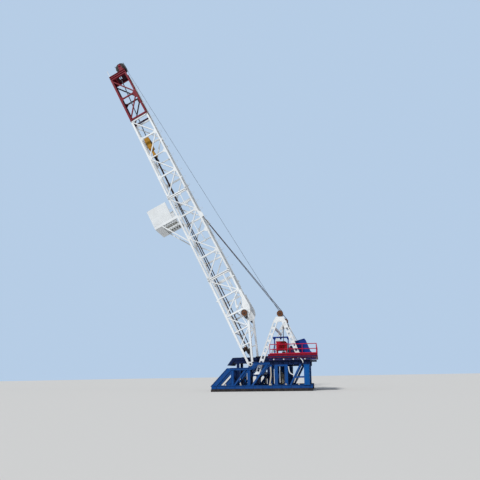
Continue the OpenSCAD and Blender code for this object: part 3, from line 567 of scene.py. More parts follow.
def wheel_trim(name, c, r, wide, hub, body, finish="brown_steel"):
    """Rim edges, ribs and hub bolts on a sheave's two faces."""
    p = Piece(name, finish)
    rim = [(r * 0.995, -0.01), (r * 0.99, 0.008), (r * 0.9, 0.008), (r * 0.88, -0.01)]
    boss = [(hub * 1.9, -0.01), (hub * 1.8, 0.012), (hub * 1.15, 0.012), (hub * 1.05, -0.01)]
    for s in (-1, 1):
        q = Vector((c.x, c.y + s * wide / 2, c.z))
        p.turned(q, (0, s, 0), rim, 40, True)
        p.turned(q, (0, s, 0), boss, 28, True)
        for a in steps(0, math.tau / 8, 8):
            e = Vector((math.cos(a), 0, math.sin(a)))
            p.bar(q + e * hub * 1.7, q + e * r * 0.9, 0.014, r * 0.08)
            p.bolt(q + e * hub * 1.45 + Vector((0, s * 0.012, 0)), (0, s, 0), 0.012, 0.01)
    p.done(body, 0.002)


wheel_trim("crown_sheave_trim", mast(CROWN_W, CROWN_U), CROWN_R, 0.72, 0.19, "crown_sheaves", "black_sheave")
for s, side in SIDES:
    wheels = (("gin", Vector((GIN.x, s * GIN.y, GIN.z)), GIN_R, 0.2, 0.07),
              ("knee", mast(KNEE_W, KNEE_U, s * KNEE_Y), 0.3, 0.12, 0.06),
              ("foot", mast(FOOT_W, FOOT_U, s * FOOT_SY), FOOT_R, 0.14, 0.06))
    for kind, *sizes in wheels:
        wheel_trim(f"{kind}_sheave_trim_{side}", *sizes, f"{kind}_sheave_{side[0]}")

# racking board: ribbed walls, frame rails with the fingers' tips, deck plates
wall = Piece("wall_ribs", "wind_wall", in_mast)
for w in steps(BOARD_W0 + 0.1, 0.19, 12):
    wall.both((w, BOARD_Y - 0.004, BOARD_U + 0.05), (w + 0.09, BOARD_Y + 0.012, BOARD_TOP - 0.05))
for y in steps(-BOARD_Y + 0.12, 0.2, 14):
    wall.box((BOARD_W0 - 0.012, y, BOARD_U + 0.05), (BOARD_W0 + 0.002, y + 0.1, BOARD_TOP - 0.05))
wall.done("mast", 0.003)

RAIL, THIN_RAIL = (0.06, 0.06), (0.04, 0.04)
FRONT_W, POST_Y, ARM_Y, ARM_END = BOARD_W0 + 0.09, BOARD_Y - 0.09, BOARD_Y - 0.06, -0.11
rails = Piece("board_frame", "white_paint", in_mast)
for u in (BOARD_U + 0.02, BOARD_U + 1.0, BOARD_TOP - 0.03):
    for y in (-POST_Y, POST_Y):
        rails.bar((BOARD_W0, y, u), (BOARD_W1, y, u), *RAIL)
    rails.bar((FRONT_W, -BOARD_Y, u), (FRONT_W, BOARD_Y, u), *RAIL, UP)
for w in (FRONT_W, BOARD_W0 + 1.15, BOARD_W1 - 0.03):
    for y in (-POST_Y, POST_Y):
        rails.bar((w, y, BOARD_U), (w, y, BOARD_TOP), *RAIL)
for y in (-0.5, 0.5):
    rails.bar((FRONT_W, y, BOARD_U), (FRONT_W, y, BOARD_TOP), *RAIL)
for s in (-1, 1):
    for du in (0.55, 1.05):
        y, u = s * ARM_Y, BOARD_U + du
        rails.bar((BOARD_W1, y, u), (ARM_END, y, u), *THIN_RAIL)
    for w in steps(BOARD_W0 + 0.94, 0.3, 6):
        tip = (w, s * (BOARD_Y - 1.0), BOARD_U - 0.14)
        rails.turned(tip, (0, -s, 0), [(0.05, -0.03), (0.05, 0.02), (0.02, 0.06)], 12)
rails.done("mast")

WALK_W, WALK_Y, MIDDLE_Y, RIB_PITCH = BOARD_W0 + 0.8, BOARD_Y - 0.5, 0.3, 0.1
PLATE_U0, PLATE_U1, RIB_U0, RIB_U1 = BOARD_U - 0.06, BOARD_U - 0.03, BOARD_U - 0.085, BOARD_U - 0.055
deck = Piece("board_deck", "pale_grating", in_mast)
deck.box((BOARD_W0 + 0.06, -ARM_Y, PLATE_U1), (WALK_W, ARM_Y, BOARD_U + 0.005))
deck.both((WALK_W, ARM_Y, PLATE_U0), (-0.12, WALK_Y, PLATE_U1))
deck.box((WALK_W, -MIDDLE_Y, PLATE_U0), (-0.45, MIDDLE_Y, PLATE_U1))
for w in steps(BOARD_W0 + 0.1, RIB_PITCH, 26):
    edge_y = BOARD_Y - 0.1
    fronts = ((-edge_y, edge_y),)
    if w >= WALK_W - 0.02:
        fronts = ((-edge_y, -WALK_Y), (WALK_Y, edge_y), (-MIDDLE_Y, MIDDLE_Y))
    for y0, y1 in fronts:
        deck.box((w, y0, RIB_U0), (w + 0.012, y1, RIB_U1))
deck.done("mast", 0)

# travelling block: two cheeks, inner plates and sheaves
CHEEK_Y, CHEEK_SCALE, BLOCK_TOP, BLOCK_LOW = 0.35, 0.84, 0.84, -0.5
SHEAVE_U = BLOCK_U + 0.2
# the cheek's outline about the middle of the block
CHEEK = [(-0.33, BLOCK_LOW), (-0.38, 0.2), (-0.36, 0.5), (-0.24, 0.78), (-0.1, BLOCK_TOP), (0.16, BLOCK_TOP),
         (0.3, 0.74), (0.39, 0.45), (0.36, 0), (0.33, BLOCK_LOW), (0.13, -BLOCK_TOP), (-0.13, -BLOCK_TOP)]
cheeks = Piece("block_cheeks", "yellow_paint", in_mast)
for s in (-1, 1):
    cheeks.web([(BLOCK_W + w * CHEEK_SCALE, BLOCK_U + u) for w, u in CHEEK], s * CHEEK_Y, 0.056)
    raised = [(BLOCK_W + w * CHEEK_SCALE * 0.75, BLOCK_U + u * 0.75) for w, u in CHEEK]
    cheeks.plate(raised, s * 0.378 - 0.012, s * 0.378 + 0.001)
    cheeks.turned((BLOCK_W, s * 0.36, SHEAVE_U), (0, s, 0), [(0.15, -0.02), (0.15, 0.012), (0.1, 0.02)], 24)
for w0, w1, y, u0, u1 in ((-0.3, 0.3, 0.33, -0.78, BLOCK_LOW), (-0.24, -0.16, 0.33, 0.74, BLOCK_TOP),
                          (0.2, 0.28, 0.33, 0.7, 0.8), (-0.14, 0.14, 0.16, -0.85, BLOCK_LOW)):
    cheeks.box((BLOCK_W + w0, -y, BLOCK_U + u0), (BLOCK_W + w1, y, BLOCK_U + u1))
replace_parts(cheeks.done("block"), "travelling_block")
reel = Piece("block_sheaves", "dark_steel", in_mast)
for y in steps(-0.25, 0.125, 5):
    groove = [(0.12, -0.055), (0.36, -0.05), (0.31, 0), (0.36, 0.05), (0.12, 0.055)]
    reel.turned((BLOCK_W, y, SHEAVE_U), ALONG_Y, groove, 36)
reel.turned((BLOCK_W, 0, SHEAVE_U), ALONG_Y, spindle((0.075, 0.37), (0.07, 0.375)), 20)
reel.done("block", 0)

# hook and yoke with sling sockets
HOOK_BODY = [(0.13, 0), (0.2, 0.05), (0.225, 0.16), (0.225, 0.36), (0.19, 0.46), (0.15, 0.5), (0.15, 0.78),
             (0.12, 0.82), (0.12, 1.1)]
HOOK_U = BLOCK_U - 1.82
hook = Piece("hook_body", "yellow_paint", in_mast)
hook.turned((BLOCK_W, 0, BLOCK_U - 1.95), UP, HOOK_BODY, 32)
hook.tube([(BLOCK_W + 0.05 + 0.16 * math.sin(a), 0, HOOK_U + 0.17 * math.cos(a))
           for a in (0.3, 0.9, 1.6, 2.3, 3.0, 3.7, 4.4)], 0.05)
for s in (-1, 1):
    hook.turned((BLOCK_W, s * 0.2, BLOCK_U - 1.66), (0, s, 0), [(0.07, 0), (0.07, 0.03), (0.04, 0.04)], 18)
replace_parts(hook.done("block"), "hook_yoke")
yoke = Piece("sling_yoke", "black_sheave", in_mast)
yoke.box((BLOCK_W - 0.12, -0.5, YOKE_U + 0.22), (BLOCK_W + 0.12, 0.5, YOKE_U + 0.5))
for y in (-SLING_Y, SLING_Y):
    yoke.web(trapezoid(BLOCK_W, YOKE_U + 0.01, 0.1, YOKE_U + 0.25, 0.12), y, 0.18)
    yoke.turned((BLOCK_W, y, YOKE_U + 0.13), (1, 0, 0), spindle((0.05, 0.12), (0.035, 0.13)), 14)
yoke.turned((BLOCK_W, 0, YOKE_U + 0.36), ALONG_Y, spindle((0.07, 0.515), (0.05, 0.52)), 18)
yoke.done("block")

# drilling lines from the block over the crown sheaves
LONG_RUN, FAST_RUN = 48, 64
top_w = (BLOCK_W + 0.06, BLOCK_U + 0.85)
crown_g = CROWN_R * GROOVE + LINE_R
front, angle = touch(crown_c, crown_g, top_w, -1)
lines = Piece("drilling_ropes", "pale_rope", in_mast)
for y in steps(-2.5 * LINE_PITCH, LINE_PITCH, 6):
    run = split((top_w[0] - 0.003, y, top_w[1] - 0.25), (front[0], y, front[1]), 24)
    wrap = arc(crown_c, crown_g, angle + math.tau, angle + math.pi + 0.3, y, 20)
    lines.tube(run + wrap[1:], LINE_R, 8)
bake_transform(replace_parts(lines.done(None, 0), "drilling_lines"))

# slings from the yoke to the foot sheaves, with their end sockets
foot_c = (FOOT_W, FOOT_U)
foot_g = FOOT_R * GROOVE + SLING_R
heel, angle = touch(foot_c, foot_g, (BLOCK_W, YOKE_U), -1)
slings = Piece("sling_ropes", "dark_rope", in_mast)
ends = Piece("sling_sockets", "black_sheave", in_mast)
for s in (-1, 1):
    y = s * FOOT_SY
    run = split((BLOCK_W, s * SLING_Y, YOKE_U), (heel[0], y, heel[1]), LONG_RUN)
    slings.tube(run + arc(foot_c, foot_g, angle, angle - math.pi / 2, y, 14)[1:], SLING_R * 1.2, 10)
    low_u = FOOT_U - foot_g
    ends.tube([(FOOT_W, y, low_u), (FOOT_W - 0.2, y, low_u - 0.02)], 0.06, 14)
    clamp = [(-0.08, FOOT_U - 0.32), (0.14, FOOT_U - 0.29), (0.14, FOOT_U - 0.16), (-0.08, FOOT_U - 0.15)]
    for d in (-0.075, 0.075):
        ends.web(clamp, y + d, 0.02)
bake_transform(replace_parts(slings.done(None, 0), "sling_lines"))
ends.done("mast")

# raising lines from the mast's lugs over the A-frame sheaves down to the platform
gin_g = GIN_R * GROOVE + RAISE_R
gin_c = (GIN.x, GIN.z)
lug = mast(rear(RAISE_U) + 0.24, RAISE_U)
tip, angle = touch(gin_c, gin_g, (lug.x, lug.z), -1)
raising = Piece("raising_ropes", "dark_rope")
for s in (-1, 1):
    for d in (0.055, -0.01):
        y, drop_x = s * (GIN.y + d), GIN.x + gin_g
        run = split((lug.x, s * (MAST_Y + d), lug.z), (tip[0], y, tip[1]), LONG_RUN)
        wrap = arc(gin_c, gin_g, angle, 0.0, y, 8)
        drop = split((drop_x, y, GIN.z), (drop_x, y, DECK_Z + 0.2), 4)
        raising.tube(run + wrap[1:] + drop[1:], RAISE_R, 10)
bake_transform(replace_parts(raising.done(None, 0), "raising_lines"))

# fast line from the crown to the winch
roof = (4.5, DECK_Z + 1.4)
crown = mast(*crown_c)
leave, _ = touch((crown.x, crown.z), crown_g, roof, 1)
fast = Piece("fast_rope", "wire_rope")
fast.tube(split((roof[0], FAST_Y, roof[1]), (leave[0], FAST_Y, leave[1]), FAST_RUN), LINE_R, 8)
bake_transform(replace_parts(fast.done(None, 0), "fast_line"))

# base: flanges and stiffeners on the side frames, stiffeners of the girders
REACH = HALF_FRAME + 0.05
RIB_Y, RIB_HALF, RIB_THICK, FLANGE, PROUD = HALF_FRAME + 0.02, 0.022, 0.02, 0.03, 0.004
POSTS = ((-1.82, -1.62), (-0.22, 0.0), (1.96, 2.1), (2.4, 2.66), (3.36, 3.62))
SLOPE = Vector((1.92, 0, 2.025)).normalized()


def flange(p, y, x0, x1, z0, z1):
    """Flange strip across a side frame's beam."""
    p.box((x0, y - REACH, z0), (x1, y + REACH, z1))


def beam_ribs(p, y, x, z0, z1):
    """Stiffeners on both faces of a beam."""
    for mid in (y - RIB_Y, y + RIB_Y):
        p.box((x, mid - RIB_HALF, z0), (x + RIB_THICK, mid + RIB_HALF, z1))


def post_feet(p, y, x0, x1):
    """Gussets at the foot of a post and the cover strips up its corners."""
    for x, turn in ((x0, -1), (x1, 1)):
        p.web([(x, BEAM_TOP), (x + turn * 0.16, BEAM_TOP), (x, BEAM_TOP + 0.2)], y, 0.024)
    head = LOW_BEAM - 0.01 if x0 < 1 else 2.45
    for sy in (-1, 1):
        inner, outer = y + sy * HALF_FRAME, y + sy * (HALF_FRAME + 0.03)
        for x in (x0 - 0.03, x1 - 0.01):
            p.box((x, inner, BEAM_TOP), (x + 0.04, outer, head))


for label, y in FRAME_ROWS.items():
    is_outer = abs(y) == OUTER_Y
    top = 2.25 if is_outer else 2.3
    f = Piece(f"flanges_{label}", "blue_paint")
    flange(f, y, BASE_X0, BASE_X1, SKID_H, SKID_H + FLANGE)
    flange(f, y, BASE_X0 + 0.2, BASE_X1, BEAM_TOP - FLANGE, BEAM_TOP + PROUD)
    flange(f, y, -1.9, 0.12, LOW_BEAM - PROUD, LOW_BEAM + FLANGE)
    flange(f, y, 0.62, 1.96, GIRDER_Z0 - PROUD, GIRDER_Z0 - PROUD + FLANGE)
    if is_outer:
        flange(f, y, -1.95, 0.16, top - FLANGE, top + PROUD)
        flange(f, y, 0.42, 1.96, 2.71, 2.744)
    across = Vector((-SLOPE.z, 0, SLOPE.x))
    foot = Vector((-3.76, y, 0.33))
    for off, t0, t1 in ((0.2, 0.05, 2.42), (-0.2, 0.52, 2.45)):
        f.bar(foot + across * off + SLOPE * t0, foot + across * off + SLOPE * t1, 2 * REACH, FLANGE)
    for x in steps(-3.3, 0.9, 11):
        beam_ribs(f, y, x, SKID_H + FLANGE, BEAM_TOP - FLANGE)
    for x in steps(-1.4, 0.62, 3):
        beam_ribs(f, y, x, LOW_BEAM + FLANGE, top - FLANGE)
    for post in POSTS:
        post_feet(f, y, *post)
    f.done("base")
    g = Piece(f"girder_{label}", "navy_paint")
    for x in steps(2.3, 0.46, 8):
        g.box((x, y - 0.12, GIRDER_Z0), (x + 0.016, y + 0.12, GIRDER_Z1 - 0.03))
    for x in steps(1.96, 0.9, 5):
        for dx in (-0.13, 0.31):
            g.bolt((x + dx, y, GIRDER_Z1 + 0.01), UP)
    g.done("base")

# end posts' foot and head plates, face plates and bolts
END_X = 5.41
ends = Piece("post_plates", "bright_blue")
for y in FRAME_ROWS.values():
    for z in (BEAM_TOP, 2.45):
        ends.box((END_X - 0.31, y - 0.24, z), (END_X + 0.31, y + 0.24, z + 0.04))
    for s in (-1, 1):
        inner, outer = y + s * 0.2, y + s * 0.215
        ends.box((END_X - 0.19, inner, 0.75), (END_X + 0.19, outer, 2.3))
        for z in steps(0.85, 0.34, 5):
            for dx in (-0.15, 0.15):
                ends.bolt((END_X + dx, outer, z), (0, s, 0), 0.02)
ends.done("base")

# pale pipes, bent stays and brackets that show between the near posts
PIPE_Y, STAY_Y, PANEL_Y = -4.0, -4.09, -2.13
COUPLING = [(0.05, 0), (0.08, 0.01), (0.08, 0.05), (0.04, 0.06)]
S_BEND = [(3.72, PIPE_Y, 2.25), (3.78, PIPE_Y, 1.85), (3.86, PIPE_Y, 1.68), (4.02, PIPE_Y, 1.58),
          (4.2, PIPE_Y, 1.5), (4.28, -3.95, 1.35), (4.3, -3.9, 1.1)]
TOP_BEND = [(4.62, -4.08, 3.1), (4.8, -4.08, 3.08), (4.95, -4.08, 2.98), (5.06, -4.08, 2.84),
            (5.1, -4.06, 2.7), (5.1, -3.9, 2.6)]
pipes = Piece("base_pipes", "white_paint")
pipes.tube(S_BEND, 0.05)
pipes.tube(TOP_BEND, 0.045)
pipes.turned(S_BEND[-1], (0, 0, -1), COUPLING)
pipes.turned(S_BEND[0], UP, COUPLING)
pipes.done("base")
bent = Piece("bent_stay", "beige_panel")
bent.bar((2.02, STAY_Y, 2.3), (2.05, STAY_Y, 1.5), 0.05, 0.12)
bent.bar((2.05, STAY_Y, 1.5), (1.9, STAY_Y, 0.6), 0.05, 0.12)
bent.web([(1.82, BEAM_TOP), (2.04, BEAM_TOP), (1.98, 0.72), (1.86, 0.72)], STAY_Y, 0.06)
bent.web([(2.73, 2.0), (3.08, 1.58), (3.28, 0.72), (2.75, 0.72)], PANEL_Y + 0.02, 0.02)
bent.bar((2.74, PANEL_Y, 2.0), (3.08, PANEL_Y, 1.58), 0.04, 0.04)
bent.bar((3.08, PANEL_Y, 1.58), (3.28, PANEL_Y, 0.72), 0.04, 0.04)
bent.box((2.74, -2.16, 0.6), (3.3, -2.08, 0.74))
bent.done("base")
lugs = Piece("beam_brackets", "beige_panel")
for x in (2.02, 3.44, 4.66, -0.9, -2.4):
    lugs.web(trapezoid(x, BEAM_TOP + PROUD, 0.09, 0.72, 0.05), -4.04, 0.02)
    lugs.turned((x, -4.04, 0.66), ALONG_Y, spindle((0.045, 0.025), (0.03, 0.03)), 14)
lugs.done("base")

# timber skids: straps and planks between the frames
SKID_Y = OUTER_Y + 0.3
skids = Piece("skid_straps", "dark_steel")
for x in steps(BASE_X0 + 0.35, 0.82, 12):
    skids.both((x, SKID_Y - 0.02, 0.02), (x + 0.06, SKID_Y - 0.002, SKID_H))
    for s in (-1, 1):
        skids.bolt((x + 0.03, s * (SKID_Y - 0.015), 0.13), (0, s, 0), 0.022, 0.012)
skids.done("base")
planks = Piece("skid_planks", "timber_skid")
for y in steps(OUTER_Y + 0.22, -0.31, 7):
    if min(abs(y - row) for row in FRAME_ROWS.values()) >= 0.2:
        planks.both((BASE_X0 + 0.03, y - 0.06, SKID_H - 0.01), (BASE_X1 - 0.03, y + 0.06, SKID_H + 0.025))
planks.done("base")

# winch platform: edge channel, navy band painted as shade under the deck's edge, joist brackets, lamps,
# grating ribs and rail
EDGE_Y, EDGE_T = DECK_Y + 0.04, 0.025
edge = Piece("deck_edge", "red_deck")
for z0, z1 in ((DECK_LOW, DECK_LOW + EDGE_T), (DECK_Z - EDGE_T, DECK_Z + PROUD)):
    edge.both((DECK_X0 - 0.01, DECK_Y - 0.02, z0), (DECK_X1 - 0.002, EDGE_Y, z1))
    edge.box((DECK_X0 - 0.03, -DECK_Y, z0), (DECK_X0 + 0.02, DECK_Y, z1))
    edge.box((DECK_X1 - 0.04, -DECK_Y, z0), (DECK_X1 - 0.001, DECK_Y, z1))
for x in steps(DECK_X0 + 0.1, 0.44, 11):
    edge.both((x, DECK_Y, DECK_LOW + EDGE_T), (x + 0.016, EDGE_Y - 0.01, DECK_Z - EDGE_T))
edge.done("base", 0.002)
# navy band over the lower part of the deck's side: painted shade under the deck's edge
SHADE_BAND_Z0, SHADE_BAND_Z1 = DECK_LOW + 0.02, DECK_LOW + 0.15
shade_band = Piece("deck_shade_band", "navy_paint")
shade_band.both((DECK_X0, DECK_Y - 0.01, SHADE_BAND_Z0), (DECK_X1 - 0.005, EDGE_Y - 0.004, SHADE_BAND_Z1))
shade_band.box((DECK_X0 - 0.02, -DECK_Y, SHADE_BAND_Z0), (DECK_X0 + 0.015, DECK_Y, SHADE_BAND_Z1))
shade_band.done("base", 0.002)
under = Piece("deck_under", "purple_machine")
for x in steps(1.96, 0.9, 5):
    for z in (GIRDER_Z1, DECK_LOW - 0.04):
        under.both((x - 0.02, OUTER_Y + 0.23, z), (x + 0.2, OUTER_Y + 0.262, z + 0.04))
for y in (-OUTER_Y - 0.14, OUTER_Y + 0.14):
    under.bar((1.9, y, 3.02), (6.3, y, 3.02), 0.12, 0.2)
under.done("base")
LAMP = [(0.03, -0.02), (0.055, 0.0), (0.06, 0.05), (0.045, 0.06)]
lamps = Piece("deck_lamps", "lamp_glass")
for x in (2.35, 3.3, 4.2, 5.3):
    for s in (-1, 1):
        lamps.turned((x, s * RAIL_Y, 3.0), (0, s, -0.4), LAMP)
lamps.done("base")
BED_X0, BED_X1 = 3.95, 6.15  # no ribs under the winch's bed
grate = Piece("deck_grating", "red_deck")
for x in steps(DECK_X0 + 0.1, 0.1, 46):
    if not BED_X0 < x < BED_X1:
        grate.box((x, -DECK_Y + 0.1, DECK_Z - 0.002), (x + 0.008, DECK_Y - 0.1, DECK_Z + 0.008))
grate.done("base", 0)

RAIL_FOOT = [(0.058, 0), (0.058, 0.015), (0.04, 0.03)]
RAIL_CAP = [(0.04, -0.02), (0.042, 0.01), (0.025, 0.02)]
rail = Piece("rail_tubes", "red_rail")
for y in (-RAIL_Y, RAIL_Y):
    for z in (DECK_Z + 0.455, DECK_Z + 0.925):
        rail.tube([(1.96, y, z), (6.4, y, z)], 0.038)
    for x in (1.985, 3.905, 5.065, RAIL_X):
        rail.turned((x, y, DECK_Z), UP, RAIL_FOOT, 14)
        rail.turned((x, y, DECK_Z + 0.93), UP, RAIL_CAP, 12)
for y in steps(-4.08, 1.36, 7):
    rail.turned((RAIL_X, y, DECK_Z), UP, RAIL_FOOT, 14)
rail.done("base", 0.002)

# cabinet: roof lip, doors, vents, hinges and handles
cab = Piece("cabinet_doors", "cabinet_red")
lip = [(2.43, -0.02), (3.34, -0.02), (3.52, -0.19), (3.52, -0.155), (3.35, 0.02), (2.43, 0.02)]
cab.plate([(x, CAB_Z1 + dz) for x, dz in lip], CAB_FACE - 0.01, -1.32)
for a, b in ((2.49, 2.94), (2.97, 3.42)):
    cab.box((a, CAB_FACE - 0.002, CAB_Z0 + 0.05), (b, CAB_FACE + 0.022, CAB_Z1 - 0.2))
    for z in steps(CAB_Z1 - 0.32, -0.05, 4):
        cab.box((a + 0.08, CAB_FACE - 0.012, z), (b - 0.08, CAB_FACE, z + 0.02))
for x in (2.49, 3.42):
    for z in (CAB_Z0 + 0.12, CAB_Z0 + 0.56):
        cab.tube([(x, CAB_FACE - 0.005, z - 0.04), (x, CAB_FACE - 0.005, z + 0.04)], 0.014, 8)
cab.done("base")
knob = Piece("cabinet_handles", "cabinet_red")
for x in (2.9, 3.01):
    knob.box((x - 0.02, CAB_FACE - 0.015, CAB_Z0 + 0.3), (x + 0.02, CAB_FACE, CAB_Z0 + 0.46))
    knob.tube([(x, CAB_FACE - 0.03, CAB_Z0 + 0.33), (x, CAB_FACE - 0.03, CAB_Z0 + 0.43)], 0.012, 8)
knob.done("base")


def house_plate(p, outline, y0, y1):
    """Plate of the winch housing, its outline's heights counted from the bed."""
    p.plate([(x, HOUSE_Z + z) for x, z in outline], y0, y1)


# winch housing: side panels, louvres, roof edges, seams and feet
HOUSE_Y = 1.45
PANELS = ([(4.22, 0.08), (4.22, 1.08), (4.6, 1.14), (4.6, 0.08)],
          [(4.68, 0.08), (4.68, 1.16), (5.14, 1.28), (5.22, 1.16), (5.22, 0.08)])
ROOF_EDGE = [(4.13, 1.14), (4.4, 1.17), (5.19, 1.39), (5.32, 1.23), (5.34, 1.26), (5.2, 1.43), (4.39, 1.21),
             (4.13, 1.18)]
ROOF_SEAM = [(4.39, 1.175), (5.19, 1.395), (5.31, 1.245), (5.81, 0), (5.83, 0), (5.33, 1.26), (5.195, 1.42),
             (4.39, 1.2)]
house = Piece("housing_panels", "winch_blue")
for s in (-1, 1):
    y = s * HOUSE_Y
    for outline in PANELS:
        house_plate(house, outline, y, y + s * 0.02)
    house_plate(house, ROOF_EDGE, y - s * 0.1, y + s * 0.04)
for z in steps(HOUSE_Z + 0.3, 0.09, 7):
    house.both((4.76, HOUSE_Y + 0.018, z), (5.12, HOUSE_Y + 0.045, z + 0.03))
for y in (-0.95, 0.0, 0.95):
    house_plate(house, ROOF_SEAM, y - 0.02, y + 0.02)
for y in steps(-1.4, 0.65, 5):
    house.box((5.78, y, HOUSE_Z), (5.86, y + 0.08, HOUSE_Z + 0.12))
house.done("base")

# winch drum and gear under the A-frames, chimney on the housing
DRUM = spindle((0.2, 0.45), (0.3, 0.47), (0.3, 0.53), (0.1, 0.55))
MOTOR = [(0.08, -0.4), (0.24, -0.38), (0.26, -0.2), (0.26, 0.3), (0.22, 0.36), (0.06, 0.4)]
gear = Piece("winch_gear", "purple_machine")
gear.turned((3.95, -1.2, DECK_Z + 0.62), ALONG_Y, DRUM, 28)
for x0, y0, x1, y1, high in ((3.62, -1.85, 4.12, -1.7, 0.7), (3.62, -0.72, 4.12, -0.6, 0.7),
                             (3.6, -0.3, 4.1, 0.5, 0.3), (3.66, 0.9, 4.08, 1.7, 0.9)):
    gear.box((x0, y0, DECK_Z), (x1, y1, DECK_Z + high))
gear.turned((3.85, 0.1, DECK_Z + 0.55), ALONG_Y, MOTOR, 24)
stack = [(0.1, 0), (0.1, 0.12), (0.14, 0.14), (0.14, 0.2), (0.05, 0.24)]
gear.turned((5.05, 0.55, HOUSE_Z + 1.3), (0.25, 0, 1), stack, 18)
gear.done("base")

# blue beam on two posts: knee plates, foot plates, flanges and hanging roller
beam = Piece("blue_beam_fittings", "winch_blue")
for x in (2.15, 3.55):
    beam.web(trapezoid(x, BEAM_Z + 0.005, 0.16, DECK_Z + 1.55, 0.05), BEAM_Y, 0.02)
    beam.box((x - 0.12, BEAM_Y - 0.12, DECK_Z), (x + 0.12, BEAM_Y + 0.12, DECK_Z + 0.02))
for z in (BEAM_Z - 0.01, BEAM_Z + 0.11):
    beam.box((1.98, BEAM_Y - 0.1, z), (3.72, BEAM_Y + 0.1, z + 0.02))
roller = [(0.02, -0.05), (0.09, -0.045), (0.07, 0), (0.09, 0.045), (0.02, 0.05)]
beam.turned((2.8, BEAM_Y, DECK_Z + 1.7), ALONG_Y, roller, 20)
beam.done("base")

# A-frames: leg strips, climbing rungs, bolts, foot brackets and pin caps
FRONT_FOOT, REAR_FOOT = (0.66, 1.65), (4.6, DECK_Z + 0.04)
HEAD_Z = GIN.z - 0.7
GIN_LEGS = ((GIN.x - 0.39, *FRONT_FOOT, 0.43), (GIN.x + 0.33, *REAR_FOOT, 0.4))


def a_frame_leg(p, s, top_x, foot_x, foot_z, wide):
    """Edge strips, rungs and bolts along one leg."""
    y = s * GIN_FRAME_Y
    top, foot = Vector((top_x, 0, HEAD_Z)), Vector((foot_x, 0, foot_z))
    d = (foot - top).normalized()
    n = Vector((-d.z, 0, d.x))
    strip_y, rung_y, bolt_y = (Vector((0, y + s * off, 0)) for off in (0.095, -0.1, 0.09))
    for off in (-1, 1):
        e = n * off * (wide / 2 - 0.012) + strip_y
        p.bar(top + e, foot + e, 0.012, 0.024)
    for t in steps(0.2, 0.3, int((foot - top).length / 0.3)):
        c = top + d * t + rung_y
        p.tube([c - n * wide * 0.3, c + n * wide * 0.3], 0.012, 8)
    for share in (0.12, 0.5, 0.86):
        for off in (-0.12, 0.12):
            p.bolt(top.lerp(foot, share) + n * off + bolt_y, (0, s, 0), 0.022)


for s, side in SIDES:
    a = Piece(f"a_frame_fittings_{side}", "white_paint")
    y = s * GIN_FRAME_Y
    for leg in GIN_LEGS:
        a_frame_leg(a, s, *leg)
    for x, z in ((FRONT_FOOT[0], FRONT_FOOT[1] + 0.01), (REAR_FOOT[0], REAR_FOOT[1] + 0.02)):
        for dx in (-0.25, 0.25):
            for dy in (-0.13, 0.13):
                a.bolt((x + dx, y + dy, z), UP, 0.026, 0.03)
        a.web(trapezoid(x, z, 0.28, z + 0.2, 0.1), y - 0.1, 0.02)
    for x in steps(GIN.x - 0.36, 0.17, 5):
        for z in (GIN.z - 0.45, HEAD_Z):
            a.bolt((x, y + s * 0.09, z), (0, s, 0), 0.022)
    a.done("base")
    cap = Piece(f"gin_pin_cap_{side}", "dark_steel")
    face = (GIN.x, s * (GIN.y + 0.12), GIN.z)
    cap.turned(face, (0, s, 0), [(0.07, -0.005), (0.08, 0.0), (0.08, 0.02), (0.04, 0.03)], 20)
    for p in ring(gin_c, 0.055, 4, s * (GIN.y + 0.14)):
        cap.bolt(p, (0, s, 0), 0.01, 0.008)
    cap.done("base")

# shoes: weld strips and bolts on the base plates, caps and keepers on the foot pins
LUG_HALF, PIN_END = 0.04, 0.158
PIN_CAP = [(0.085, -0.004), (0.095, 0), (0.095, 0.02), (0.06, 0.03)]
shoes = Piece("shoe_fittings", "blue_paint")
pin_caps = Piece("foot_pin_caps", "dark_steel")
for s in (-1, 1):
    for d in (-1, 1):
        y = s * FOOT_Y + d * LUG_HALF
        shoes.box((PIN_X - 0.2, y, SHOE_Z - 0.002), (PIN_X + 0.2, y + d * 0.012, SHOE_Z + 0.012))
        for dx in (-0.22, -0.075, 0.075, 0.22):
            shoes.bolt((PIN_X + dx, s * FOOT_Y + d * 0.09, SHOE_Z), UP, 0.02, 0.01)
        y = s * FOOT_Y + d * PIN_END
        pin_caps.turned((PIN_X, y, PIN_Z), (0, d, 0), PIN_CAP, 24)
        y += d * 0.035
        pin_caps.bar((PIN_X - 0.06, y, PIN_Z), (PIN_X + 0.06, y, PIN_Z), 0.014, 0.03)
shoes.done("base")
pin_caps.done("base")

# drill floor: edge flanges and stiffeners, tread plates, control box
FLOOR_X1, WEB_LOW = 1.69, FLOOR_Z - 0.27
tread = Piece("floor_trim", "navy_paint")
y0, y1 = FLOOR_Y - 0.001, FLOOR_Y + 0.03
upper = [(-2.18, FLOOR_Z), (FLOOR_X1, FLOOR_Z), (FLOOR_X1, FLOOR_Z - 0.03), (-2.16, FLOOR_Z - 0.03)]
for s in (-1, 1):
    tread.plate(upper, s * y0, s * y1)
tread.both((-2.04, y0, WEB_LOW - 0.03), (FLOOR_X1, y1, WEB_LOW))
for x in steps(-1.9, 0.48, 8):
    tread.both((x, y0, WEB_LOW), (x + 0.02, y1, FLOOR_Z - 0.03))
for x in steps(-1.95, 0.36, 5):
    tread.box((x, -1.25, FLOOR_Z), (x + 0.33, 1.25, FLOOR_Z + 0.012))
tread.box((0.2, 1.0, FLOOR_Z), (1.4, FLOOR_Y, FLOOR_Z + 0.2))
tread.done("base")

